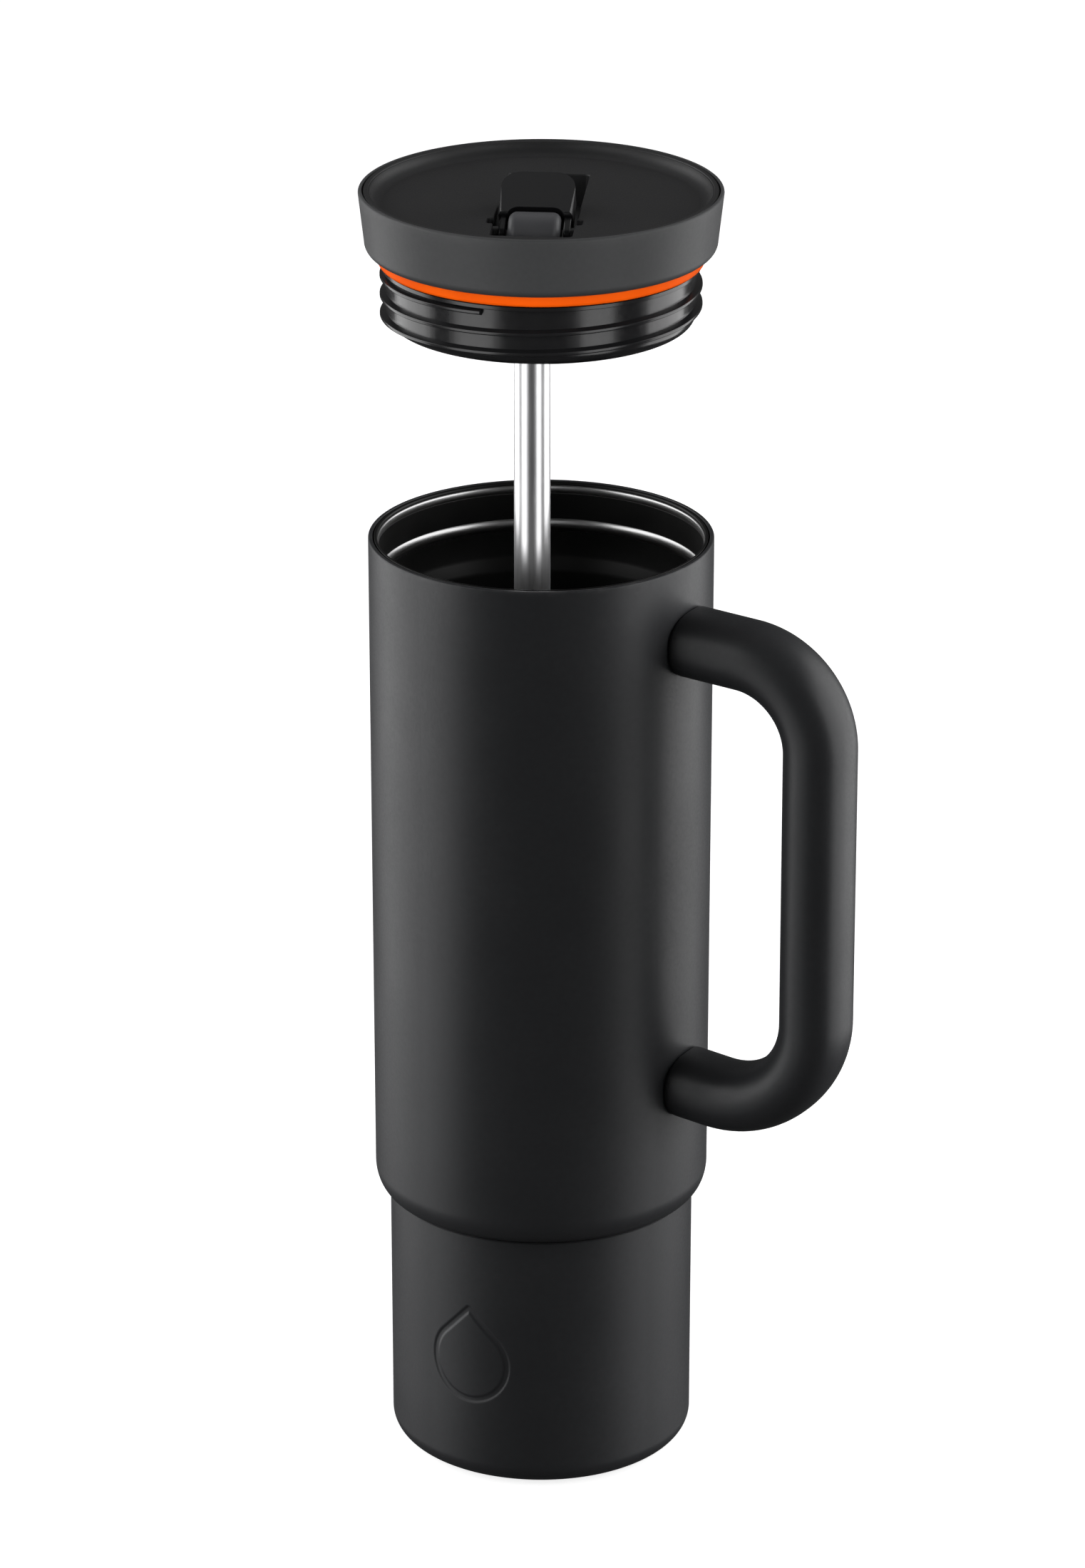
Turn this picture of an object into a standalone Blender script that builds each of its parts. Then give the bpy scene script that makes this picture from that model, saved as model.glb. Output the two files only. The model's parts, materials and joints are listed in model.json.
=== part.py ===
"""Double-walled steel travel mug with a side handle and a screw lid that carries a flip spout and a straw.

The mug stands on z = 0 with its axis on +Z. The lid is modelled lifted off the mouth, with the straw still
reaching down into the mug. All sizes are in metres.
"""

import math

import bmesh
import bpy
from mathutils import Matrix, Vector

# ---------------------------------------------------------------- driving dimensions
MM = 0.001
GAP = 0.3 * MM                      # air left between neighbouring pieces
STEPS = 40                          # sides of a turned piece

RIM_HEIGHT = 220.6 * MM             # mouth of the mug above the table
RIM_RADIUS = 38.7 * MM              # outside of the painted wall at the mouth
WALL = 0.8 * MM                     # painted wall
LIP_WALL = 1.0 * MM                 # painted wall at its lip, which is folded over
LIP_DEPTH = 14.0 * MM               # how far down the wall stays that thick
SHOULDER_RADIUS = 38.3 * MM         # outside of the painted wall at the top of the shoulder
SHOULDER_TOP = 68.6 * MM
SEAM_HEIGHT = 62.7 * MM             # line between the upper wall and the cup-holder wall
CUP_RADIUS = 34.9 * MM              # cup-holder wall at the seam
CUP_BASE_RADIUS = 34.75 * MM        # cup-holder wall just above its lower bend
CUP_WALL = 1.0 * MM
BEND = 5.0 * MM                     # radius of the bend into the base
BEND_BOTTOM = 0.1 * MM              # height of the bend's lowest ring
BEND_SPLIT = math.radians(46)       # how far down the bend the cup-holder wall reaches
SPLIT_GAP = math.radians(3.5)       # the dark line between that wall and the base cap

DROP_ANGLE = math.radians(-118.5)   # middle of the engraved drop, round the mug from +X
DROP_HEIGHT = 30.2 * MM
DROP_BODY = 10.0 * MM               # from the middle of the drop to its round side
DROP_TIP = 4.2 * MM                 # how much further its tip reaches
DROP_LINE = 1.3 * MM
DROP_DEPTH = 0.35 * MM

BORE = 36.6 * MM                    # inside of the neck
BEAD_BORE = 35.95 * MM              # inside of the rolled bead in the neck
BEAD_HEIGHT = 210.4 * MM
NECK_BOTTOM = 203.2 * MM
LINER_BORE = 35.0 * MM
LINER_CUP_BORE = 31.4 * MM
LINER_WALL = 0.7 * MM
LINER_FLOOR = 8.0 * MM
LINER_FLOOR_BEND = 8.0 * MM
LINER_STEP_LOW = 62.0 * MM          # the liner widens from here up to LINER_STEP_TOP
LINER_STEP_TOP = 73.0 * MM
LINER_STEP_BEND = 3.5 * MM          # height of the soft bend at each end of the widening
LINER_STEP_EASE = 0.9 * MM          # how far that bend moves the wall

PAD_RADIUS = 27.0 * MM
PAD_THICK = 1.0 * MM

HANDLE_ANGLE = math.radians(-31)    # direction of the handle round the mug, from +X
HANDLE_TOP = 202.8 * MM             # centre of the upper arm where it meets the wall
HANDLE_TOP_OUT = 201.1 * MM         # centre of the upper arm at the grip
HANDLE_LOW = 96.5 * MM              # centre of the lower arm where it meets the wall
HANDLE_LOW_OUT = 93.0 * MM          # centre of the lower arm at the grip
HANDLE_REACH = 71.8 * MM            # centre of the grip from the mug's axis
HANDLE_BEND_TOP = 19.5 * MM
HANDLE_BEND_LOW = 23.0 * MM
HANDLE_HALF_DEPTH = 7.6 * MM        # half the section, across the arms
HANDLE_HALF_WIDTH = 8.8 * MM        # half the section, sideways
HANDLE_WALL = 1.3 * MM
HANDLE_SQUARENESS = 2.4             # exponent of the section's superellipse
HANDLE_SIDES = 20
ARM_START = 33.0 * MM               # the arms are swept from here and cut off at the wall
BOSS_LENGTH = 14.0 * MM

LID_RAISED = 284.5 * MM             # lid's own zero, the underside of its gasket, as modelled
LID_TURN = math.radians(-5)         # the lid stands turned by this much
BAND_LOW_RADIUS = 38.95 * MM
BAND_TOP_RADIUS = 40.2 * MM
BAND_BOTTOM = 2.7 * MM
BAND_TOP = 16.3 * MM
BAND_WALL = 0.8 * MM
BAND_CORNER = 2.1 * MM
DECK_HEIGHT = 13.4 * MM
DECK_RADIUS = 34.8 * MM
DECK_THICK = 2.0 * MM
DECK_COVE = 3.0 * MM                # hollow bend from the deck up to the rim

PLUG_RADIUS = 34.2 * MM
PLUG_BOTTOM = -13.9 * MM
PLUG_WALL = 2.0 * MM
PLUG_EDGE = 2.6 * MM                # rounding of its lower edge
THREAD_RADIUS = 35.6 * MM
THREAD_PITCH = 4.45 * MM
THREAD_TURNS = 2.4
THREAD_TOP = -2.1 * MM              # height of the thread's upper end
THREAD_TOP_ANGLE = math.radians(253)

COLLAR_RADIUS = 35.2 * MM           # collar that holds the gasket up
GASKET_RADIUS = 36.15 * MM
VENT_RADIUS = 1.5 * MM

SLOT_HALF_WIDTH = 9.0 * MM
SLOT_FRONT = -27.0 * MM
SLOT_BACK = 22.0 * MM
SLOT_FLOOR = 6.2 * MM
TUB_BOTTOM = 4.0 * MM

PIVOT_Y = -15.8 * MM                # spout pivot, in the lid's own frame
PIVOT_Z = 10.4 * MM
SPOUT_LEAN = math.radians(60)       # how far the spout leans back from upright, as modelled
SPOUT_HALF_WIDTH = 8.1 * MM
SPOUT_HALF_THICK = 3.0 * MM
SPOUT_TOP = 16.0 * MM               # above the pivot, along the spout
SPOUT_FOOT = 3.5 * MM               # the thick panel starts here, above the thinner legs
SPOUT_CORNER = 4.4 * MM
LEG_HALF_THICK = 1.9 * MM
ARCH_TOP = 5.4 * MM
ARCH_HALF_WIDTH = 6.25 * MM
ARCH_CORNER = 2.6 * MM
DRUM_RADIUS = 4.9 * MM
DRUM_HALF_WIDTH = 5.7 * MM
DRUM_EDGE = 1.8 * MM
TRUNNION_RADIUS = 1.7 * MM
TRUNNION_END = 10.1 * MM

STRAW_RADIUS = 4.0 * MM
STRAW_WALL = 0.6 * MM
STRAW_Y = -22.5 * MM                # straw's axis, in the lid's own frame
STRAW_TOP = -4.6 * MM
STRAW_LENGTH = 193.6 * MM
SOCKET_RADIUS = 6.0 * MM
FLOW_RADIUS = 2.8 * MM              # hole that the drink takes from the straw to the spout
VENT_Y = 12.0 * MM

# Finishes: base colour, roughness, metallic
PAINT = ((0.045, 0.046, 0.050), 0.42, 0.25)
BRIGHT_STEEL = ((0.60, 0.60, 0.61), 0.25, 1.0)
DULL_STEEL = ((0.45, 0.45, 0.46), 0.45, 1.0)
BLACK_PLASTIC = ((0.018, 0.018, 0.020), 0.40, 0.0)
GREY_PLASTIC = ((0.075, 0.077, 0.080), 0.50, 0.1)
BLACK_RUBBER = ((0.018, 0.018, 0.020), 0.80, 0.0)
GREY_RUBBER = ((0.075, 0.077, 0.080), 0.60, 0.0)
ORANGE_RUBBER = ((0.90, 0.155, 0.008), 0.45, 0.0)
FOAM = ((0.80, 0.80, 0.78), 0.90, 0.0)
SHARP_ANGLE = math.radians(30)


# ---------------------------------------------------------------- helpers
def clear_scene():
    for obj in list(bpy.data.objects):
        bpy.data.objects.remove(obj, do_unlink=True)


def make_material(name, colour, roughness, metallic):
    material = bpy.data.materials.new(name)
    material.use_nodes = True
    shader = material.node_tree.nodes["Principled BSDF"]
    shader.inputs["Base Color"].default_value = (*colour, 1.0)
    shader.inputs["Roughness"].default_value = roughness
    shader.inputs["Metallic"].default_value = metallic
    material.diffuse_color = (*colour, 1.0)
    return material


def add_object(name, bm, finish=None, parent=None):
    bmesh.ops.recalc_face_normals(bm, faces=bm.faces)
    mesh = bpy.data.meshes.new(name)
    bm.to_mesh(mesh)
    bm.free()
    obj = bpy.data.objects.new(name, mesh)
    bpy.context.scene.collection.objects.link(obj)
    obj.parent = parent
    if finish:
        mesh.materials.append(make_material(name, *finish))
        mesh.shade_smooth()
        mesh.set_sharp_from_angle(angle=SHARP_ANGLE)
    return obj


def add_empty(name, location, turn=(0.0, 0.0, 0.0), parent=None):
    empty = bpy.data.objects.new(name, None)
    empty.location = location
    empty.rotation_euler = turn
    empty.parent = parent
    bpy.context.scene.collection.objects.link(empty)
    return empty


def arc(centre_r, centre_z, radius, start_deg, end_deg, count):
    """Points of a circular arc in the (radius, height) plane."""
    points = []
    for i in range(count + 1):
        angle = math.radians(start_deg + (end_deg - start_deg) * i / count)
        points.append((centre_r + radius * math.cos(angle), centre_z + radius * math.sin(angle)))
    return points


def turned(outline, steps=STEPS, centre=(0.0, 0.0)):
    """Solid of revolution. The outline closes on itself, or starts and ends on the axis."""
    bm = bmesh.new()
    verts = [bm.verts.new((r, 0.0, z)) for r, z in outline]
    edges = [bm.edges.new(pair) for pair in zip(verts[:-1], verts[1:])]
    if outline[0][0] > 0:
        edges.append(bm.edges.new((verts[-1], verts[0])))
    bmesh.ops.spin(
        bm,
        geom=verts + edges,
        cent=(0, 0, 0),
        axis=(0, 0, 1),
        angle=math.tau,
        steps=steps,
        use_merge=False,
        use_duplicate=False,
    )
    bmesh.ops.remove_doubles(bm, verts=bm.verts, dist=1e-6)
    bmesh.ops.translate(bm, verts=bm.verts, vec=(centre[0], centre[1], 0.0))
    return bm


def rod(radius, low, high, steps=24, centre=(0.0, 0.0)):
    return turned([(0, low), (radius, low), (radius, high), (0, high)], steps, centre)


def block(low, high, bevel=0.0, segments=3, vertical_only=False):
    """Box between two corners, with rounded edges."""
    bm = bmesh.new()
    bmesh.ops.create_cube(bm, size=1.0)
    size = Vector(high) - Vector(low)
    middle = (Vector(high) + Vector(low)) / 2
    bmesh.ops.scale(bm, verts=bm.verts, vec=size)
    bmesh.ops.translate(bm, verts=bm.verts, vec=middle)
    if bevel:
        edges = list(bm.edges)
        if vertical_only:
            edges = [e for e in edges if abs(e.verts[0].co.z - e.verts[1].co.z) > size.z / 2]
        bmesh.ops.bevel(bm, geom=edges, offset=bevel, segments=segments, profile=0.5, affect="EDGES")
    return bm


def cross_rod(radius, half_length, steps=24, edge=0.0):
    """Rod along X through the origin, with its end edges rounded off by edge."""
    outline = [(0, -half_length), (radius - edge, -half_length)]
    if edge:
        outline += arc(radius - edge, -half_length + edge, edge, -60, 0, 3)
        outline += arc(radius - edge, half_length - edge, edge, 0, 60, 3)
    else:
        outline += [(radius, -half_length), (radius, half_length)]
    if edge:
        outline.append((radius - edge, half_length))
    outline.append((0, half_length))
    bm = turned(outline, steps)
    bmesh.ops.rotate(bm, verts=bm.verts, matrix=Matrix.Rotation(math.pi / 2, 3, "Y"))
    return bm


def combine(target, bm, operation, name):
    """Join a shape to the target, or cut it away. The shape is in the target's own frame."""
    tool = add_object(f"{name}_tool", bm, parent=target)
    tool.hide_render = True
    tool.display_type = "WIRE"
    modifier = target.modifiers.new(name, "BOOLEAN")
    modifier.operation = operation
    modifier.solver = "EXACT"
    modifier.object = tool
    return tool


def bend_point(angle, radius=BEND):
    """A point on the bend into the base, at an angle below the horizontal."""
    centre_r = CUP_BASE_RADIUS - BEND
    centre_z = BEND_BOTTOM + BEND
    return centre_r + radius * math.cos(angle), centre_z - radius * math.sin(angle)


def bend_points(start, end, radius, count):
    return [bend_point(start + (end - start) * i / count, radius) for i in range(count + 1)]


# ---------------------------------------------------------------- mug
def shoulder_outline(inset, count=5):
    """The shoulder between the two wall diameters, as a quarter ellipse, from its lower end up."""
    half_wide = SHOULDER_RADIUS - CUP_RADIUS
    half_tall = SHOULDER_TOP - SEAM_HEIGHT
    points = []
    for i in range(count + 1):
        angle = math.pi / 2 * (1 - i / count)
        r = CUP_RADIUS + half_wide * math.cos(angle)
        z = SHOULDER_TOP - half_tall * math.sin(angle)
        normal_r = math.cos(angle) * half_tall
        normal_z = -math.sin(angle) * half_wide
        length = math.hypot(normal_r, normal_z)
        points.append((r - inset * normal_r / length, z - inset * normal_z / length))
    return points


def build_upper_shell():
    inner_rim = RIM_RADIUS - LIP_WALL
    edge = 0.5 * MM
    taper = 2 * MM
    outline = shoulder_outline(0.0)
    outline += arc(RIM_RADIUS - edge, RIM_HEIGHT - edge, edge, 0, 90, 2)
    outline += [(inner_rim, RIM_HEIGHT), (inner_rim, RIM_HEIGHT - LIP_DEPTH)]
    outline += [(RIM_RADIUS - WALL - 0.1 * MM, RIM_HEIGHT - LIP_DEPTH - taper)]
    outline += reversed(shoulder_outline(WALL))
    return add_object("upper_shell", turned(outline), PAINT)


def build_lower_shell():
    inner = CUP_RADIUS - CUP_WALL
    lip_inner = inner - 0.7 * MM
    lip_top = SEAM_HEIGHT + 1.2 * MM
    lip_low = SEAM_HEIGHT - 2.3 * MM
    taper = 1.0 * MM
    top = SEAM_HEIGHT - GAP
    outline = [(CUP_BASE_RADIUS, BEND_BOTTOM + BEND), (CUP_RADIUS, top), (inner, top)]
    outline += [(inner, lip_top), (lip_inner, lip_top), (lip_inner, lip_low), (inner, lip_low - taper)]
    outline += bend_points(0.0, BEND_SPLIT, BEND - CUP_WALL, 2)
    outline += reversed(bend_points(0.0, BEND_SPLIT, BEND, 4)[1:])
    shell = add_object("lower_shell", turned(outline), PAINT)
    combine(shell, droplet_groove(), "DIFFERENCE", "badge_groove")
    return shell


def droplet_radius(angle):
    """Outline of an upright water drop: a circle and the tangents from its tip, which is at 90 degrees."""
    shoulder = math.acos(DROP_BODY / (DROP_BODY + DROP_TIP))
    off = abs(angle - math.pi / 2)
    if off < shoulder:
        return DROP_BODY / math.cos(shoulder - off)
    return DROP_BODY


def droplet_groove():
    """Ring-shaped cutter that follows the cup-holder wall and draws the outline of a drop on it."""
    count = 36
    deep = CUP_RADIUS - DROP_DEPTH
    shallow = CUP_RADIUS + 1.0 * MM
    bm = bmesh.new()
    rings = []
    for radial, inset in ((deep, 0.0), (shallow, 0.0), (shallow, DROP_LINE), (deep, DROP_LINE)):
        ring = []
        for i in range(count):
            angle = math.tau * i / count
            size = droplet_radius(angle) - inset
            around = DROP_ANGLE + size * math.cos(angle) / CUP_RADIUS
            z = DROP_HEIGHT + size * math.sin(angle)
            ring.append(bm.verts.new((radial * math.cos(around), radial * math.sin(around), z)))
        rings.append(ring)
    skin(bm, rings + rings[:1])
    return bm


def liner_inside():
    """Inside of the liner from the axis of its floor up to the bottom of the neck."""
    bend_r = LINER_CUP_BORE - LINER_FLOOR_BEND
    ease = LINER_STEP_EASE
    outline = [(0, LINER_FLOOR), (bend_r, LINER_FLOOR)]
    outline += arc(bend_r, LINER_FLOOR + LINER_FLOOR_BEND, LINER_FLOOR_BEND, -75, 0, 4)
    outline += [(LINER_CUP_BORE, LINER_STEP_LOW), (LINER_CUP_BORE + ease, LINER_STEP_LOW + LINER_STEP_BEND)]
    outline += [(LINER_BORE - ease, LINER_STEP_TOP - LINER_STEP_BEND), (LINER_BORE, LINER_STEP_TOP)]
    return outline


def liner_outside():
    """Outside of the liner from the top of the step down to the axis of its floor."""
    bend_r = LINER_CUP_BORE - LINER_FLOOR_BEND
    bore = LINER_BORE + LINER_WALL
    cup = LINER_CUP_BORE + LINER_WALL
    ease = LINER_STEP_EASE
    lag = GAP                           # keeps the wall even where it slopes
    outline = [(bore, LINER_STEP_TOP - lag), (bore - ease, LINER_STEP_TOP - LINER_STEP_BEND - lag)]
    outline += [(cup + ease, LINER_STEP_LOW + LINER_STEP_BEND - lag), (cup, LINER_STEP_LOW - lag)]
    outline += arc(bend_r, LINER_FLOOR + LINER_FLOOR_BEND, LINER_FLOOR_BEND + LINER_WALL, 0, -75, 3)
    outline += [(bend_r, LINER_FLOOR - LINER_WALL), (0, LINER_FLOOR - LINER_WALL)]
    return outline


def build_inner_liner():
    lip_outer = RIM_RADIUS - LIP_WALL - GAP
    edge = 0.8 * MM
    bead_root = 1.3 * MM
    bead_crest = 0.5 * MM
    neck_slope = 5.0 * MM
    neck_wall = BORE + LINER_WALL
    lip_low = RIM_HEIGHT - 2 * MM
    outline = liner_inside()
    outline += [(LINER_BORE, NECK_BOTTOM - neck_slope), (BORE, NECK_BOTTOM)]
    outline += [(BORE, BEAD_HEIGHT - bead_root), (BEAD_BORE, BEAD_HEIGHT - bead_crest)]
    outline += [(BEAD_BORE, BEAD_HEIGHT + bead_crest), (BORE, BEAD_HEIGHT + bead_root)]
    outline += arc(BORE + edge, RIM_HEIGHT - edge, edge, 180, 90, 2)
    outline += [(lip_outer, RIM_HEIGHT), (lip_outer, lip_low), (neck_wall, lip_low - MM)]
    outline += [(neck_wall, NECK_BOTTOM - GAP), (LINER_BORE + LINER_WALL, NECK_BOTTOM - neck_slope - GAP)]
    outline += liner_outside()
    return add_object("inner_liner", turned(outline), BRIGHT_STEEL)


def build_base():
    recess_radius = PAD_RADIUS + GAP
    recess_top = PAD_THICK + GAP
    cap_top = recess_top + 0.9 * MM
    hole = 4.3 * MM
    start = BEND_SPLIT + SPLIT_GAP
    outline = bend_points(start, math.pi / 2, BEND, 4)
    outline += [(recess_radius, BEND_BOTTOM), (recess_radius, recess_top), (hole, recess_top)]
    outline += [(hole, cap_top), (recess_radius + CUP_WALL, cap_top)]
    outline += reversed(bend_points(start, math.pi / 2, BEND - CUP_WALL, 2)[:-1])
    add_object("base_cap", turned(outline), PAINT)

    edge = 0.4 * MM
    pad = [(0, 0), (PAD_RADIUS - edge, 0), (PAD_RADIUS, edge), (PAD_RADIUS, PAD_THICK), (0, PAD_THICK)]
    add_object("base_pad", turned(pad), BLACK_RUBBER)

    plug = rod(hole - GAP, recess_top + 0.1 * MM, cap_top)
    add_object("vacuum_plug", plug, DULL_STEEL)

    getter_top = LINER_FLOOR - LINER_WALL - GAP
    getter_radius = 5.0 * MM
    getter_thick = 1.8 * MM
    getter = rod(getter_radius, getter_top - getter_thick, getter_top)
    add_object("getter", getter, DULL_STEEL)


# ---------------------------------------------------------------- handle
def fillet(before, corner, after, radius, count):
    """Points of the arc that rounds off a corner of a path."""
    first = (before - corner).normalized()
    second = (after - corner).normalized()
    half = first.angle(second) / 2
    centre = corner + (first + second).normalized() * radius / math.sin(half)
    start = corner + first * radius / math.tan(half) - centre
    end = corner + second * radius / math.tan(half) - centre
    points = []
    for i in range(count + 1):
        points.append(centre + start.normalized().slerp(end.normalized(), i / count) * radius)
    return points


def handle_path(inner_reach):
    """Centre line of the handle in its own plane: x away from the mug, z up."""
    start = Vector((inner_reach, 0, HANDLE_TOP))
    top = Vector((HANDLE_REACH, 0, HANDLE_TOP_OUT))
    low = Vector((HANDLE_REACH, 0, HANDLE_LOW_OUT))
    end = Vector((inner_reach, 0, HANDLE_LOW))
    path = [start]
    path += fillet(start, top, low, HANDLE_BEND_TOP, 8)
    path += fillet(top, low, end, HANDLE_BEND_LOW, 8)
    path += [end]
    return path


def section(half_depth, half_width):
    """Superellipse: (across the path, sideways)."""
    points = []
    power = 2 / HANDLE_SQUARENESS
    for i in range(HANDLE_SIDES):
        angle = math.tau * i / HANDLE_SIDES
        c = math.cos(angle)
        s = math.sin(angle)
        across = math.copysign(abs(c) ** power, c) * half_depth
        sideways = math.copysign(abs(s) ** power, s) * half_width
        points.append((across, sideways))
    return points


def sweep(bm, path, shape):
    """Rings of a section along a path that lies in the XZ plane."""
    rings = []
    for i, point in enumerate(path):
        ahead = path[min(i + 1, len(path) - 1)]
        behind = path[max(i - 1, 0)]
        along = (ahead - behind).normalized()
        across = Vector((-along.z, 0, along.x))
        rings.append([bm.verts.new(point + across * a + Vector((0, s, 0))) for a, s in shape])
    return rings


def skin(bm, rings):
    count = len(rings[0])
    for ring, following in zip(rings[:-1], rings[1:]):
        for i in range(count):
            j = (i + 1) % count
            bm.faces.new((ring[i], ring[j], following[j], following[i]))


def build_handle():
    path = handle_path(ARM_START)
    bm = bmesh.new()
    outer = sweep(bm, path, section(HANDLE_HALF_DEPTH, HANDLE_HALF_WIDTH))
    inner = sweep(bm, path, section(HANDLE_HALF_DEPTH - HANDLE_WALL, HANDLE_HALF_WIDTH - HANDLE_WALL))
    skin(bm, outer)
    skin(bm, inner)
    skin(bm, [outer[0], inner[0]])
    skin(bm, [outer[-1], inner[-1]])
    bmesh.ops.rotate(bm, verts=bm.verts, matrix=Matrix.Rotation(HANDLE_ANGLE, 3, "Z"))
    handle = add_object("handle", bm, PAINT)
    combine(handle, wall_clearance(), "DIFFERENCE", "wall_clearance")
    build_boss("handle_boss_top", HANDLE_TOP, HANDLE_TOP_OUT)
    build_boss("handle_boss_low", HANDLE_LOW, HANDLE_LOW_OUT)


def wall_clearance():
    """The room that the upper wall takes, and a gap round it."""
    return rod(RIM_RADIUS + GAP, SHOULDER_TOP, RIM_HEIGHT, 96)


def build_boss(name, height, height_out):
    """Block on the wall that one arm of the handle slips over."""
    start = Vector((ARM_START, 0, height))
    direction = (Vector((HANDLE_REACH, 0, height_out)) - start).normalized()
    shrink = HANDLE_WALL + GAP
    bm = bmesh.new()
    shape = section(HANDLE_HALF_DEPTH - shrink, HANDLE_HALF_WIDTH - shrink)
    rings = sweep(bm, [start, start + direction * BOSS_LENGTH], shape)
    skin(bm, rings)
    bm.faces.new(rings[0])
    bm.faces.new(rings[-1])
    bmesh.ops.rotate(bm, verts=bm.verts, matrix=Matrix.Rotation(HANDLE_ANGLE, 3, "Z"))
    boss = add_object(name, bm, DULL_STEEL)
    combine(boss, wall_clearance(), "DIFFERENCE", f"{name}_clearance")


# ---------------------------------------------------------------- lid
def build_lid_band(lid):
    low = BAND_BOTTOM + BAND_CORNER
    shoulder = BAND_TOP - 1.7 * MM
    corner_r = BAND_LOW_RADIUS - BAND_CORNER
    edge = 0.7 * MM
    outline = arc(corner_r, low, BAND_CORNER, -90, 0, 4)
    outline += arc(BAND_TOP_RADIUS - edge, BAND_TOP - edge, edge, 0, 90, 2)
    outline += [(BAND_TOP_RADIUS - BAND_WALL, BAND_TOP)]
    outline += [(BAND_TOP_RADIUS - BAND_WALL, shoulder)]
    outline += arc(corner_r, low, BAND_CORNER - BAND_WALL, 0, -90, 3)
    add_object("lid_band", turned(outline), GREY_PLASTIC, lid)


def build_lid_deck(lid):
    low = BAND_BOTTOM + BAND_CORNER
    corner_r = BAND_LOW_RADIUS - BAND_CORNER
    corner = BAND_CORNER - BAND_WALL - GAP
    top_r = BAND_TOP_RADIUS - BAND_WALL - GAP
    top = BAND_TOP - 0.1 * MM
    edge = 0.4 * MM
    cavity = PLUG_RADIUS + GAP
    bottom = low - corner
    outline = [(0, DECK_HEIGHT)]
    outline += arc(DECK_RADIUS, DECK_HEIGHT + DECK_COVE, DECK_COVE, -90, -8, 4)
    outline += [(DECK_RADIUS + DECK_COVE + edge, top), (top_r - edge, top)]
    outline += [(top_r, top - edge), (top_r, BAND_TOP - 1.7 * MM)]
    outline += arc(corner_r, low, corner, 0, -90, 2)
    outline += [(cavity, bottom), (cavity, DECK_HEIGHT - DECK_THICK), (0, DECK_HEIGHT - DECK_THICK)]
    deck = add_object("lid_deck", turned(outline), BLACK_PLASTIC, lid)

    above = DECK_HEIGHT + 5 * MM
    tub_side = SLOT_HALF_WIDTH + 2.6 * MM
    tub_end = 1.5 * MM
    tub_low = (-tub_side, SLOT_FRONT - tub_end, TUB_BOTTOM)
    tub_high = (tub_side, SLOT_BACK + tub_end, DECK_HEIGHT - DECK_THICK / 2)
    combine(deck, block(tub_low, tub_high, 2 * MM, 2, True), "UNION", "slot_tub")
    slot_low = (-SLOT_HALF_WIDTH, SLOT_FRONT, SLOT_FLOOR)
    slot_high = (SLOT_HALF_WIDTH, SLOT_BACK, above)
    combine(deck, block(slot_low, slot_high, 1.2 * MM, 3, True), "DIFFERENCE", "slot")

    notch_half = TRUNNION_RADIUS + 0.4 * MM
    notch_low = (-TRUNNION_END - GAP, PIVOT_Y - notch_half, PIVOT_Z - notch_half)
    notch_high = (TRUNNION_END + GAP, PIVOT_Y + notch_half, above)
    combine(deck, block(notch_low, notch_high), "DIFFERENCE", "pivot_notches")

    play = 0.4 * MM
    pocket = cross_rod(DRUM_RADIUS + play, DRUM_HALF_WIDTH + play, 32)
    bmesh.ops.translate(pocket, verts=pocket.verts, vec=(0, PIVOT_Y, PIVOT_Z))
    combine(deck, pocket, "DIFFERENCE", "drum_pocket")
    hole_low = TUB_BOTTOM - MM
    hole_top = SLOT_FLOOR + MM
    flow = rod(FLOW_RADIUS, hole_low, hole_top, 20, (0, STRAW_Y + 1.5 * MM))
    combine(deck, flow, "DIFFERENCE", "flow_hole")
    vent = rod(VENT_RADIUS, hole_low, hole_top, 16, (0, VENT_Y))
    combine(deck, vent, "DIFFERENCE", "vent_hole")


def build_gasket(seal):
    inner = PLUG_RADIUS + GAP
    top = BAND_BOTTOM + BAND_WALL
    edge = 0.5 * MM
    outline = [(inner, 0), (GASKET_RADIUS - edge, 0), (GASKET_RADIUS, edge), (GASKET_RADIUS, top - edge)]
    outline += [(GASKET_RADIUS - edge, top), (inner, top)]
    add_object("lid_gasket", turned(outline), ORANGE_RUBBER, seal)


def thread_ridge():
    """Right-handed ridge round the plug: blunt at its upper end and run out at its lower end."""
    per_turn = 32
    count = round(THREAD_TURNS * per_turn)
    run_out = per_turn // 6
    root = PLUG_RADIUS - 0.5 * MM
    half_root = 1.0 * MM
    half_crest = 0.28 * MM
    sunk = 0.1 * MM
    bm = bmesh.new()
    rings = []
    for i in range(count + 1):
        turn = i / per_turn
        angle = THREAD_TOP_ANGLE - math.tau * turn
        z = THREAD_TOP - THREAD_PITCH * turn
        rise = min(1.0, (count - i) / run_out)
        crest = PLUG_RADIUS - sunk + (THREAD_RADIUS - PLUG_RADIUS + sunk) * rise
        shape = ((root, -half_root), (crest, -half_crest), (crest, half_crest), (root, half_root))
        ring = []
        for r, dz in shape:
            ring.append(bm.verts.new((r * math.cos(angle), r * math.sin(angle), z + dz)))
        rings.append(ring)
    skin(bm, rings)
    bm.faces.new(rings[0])
    bm.faces.new(rings[-1])
    return bm


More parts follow.
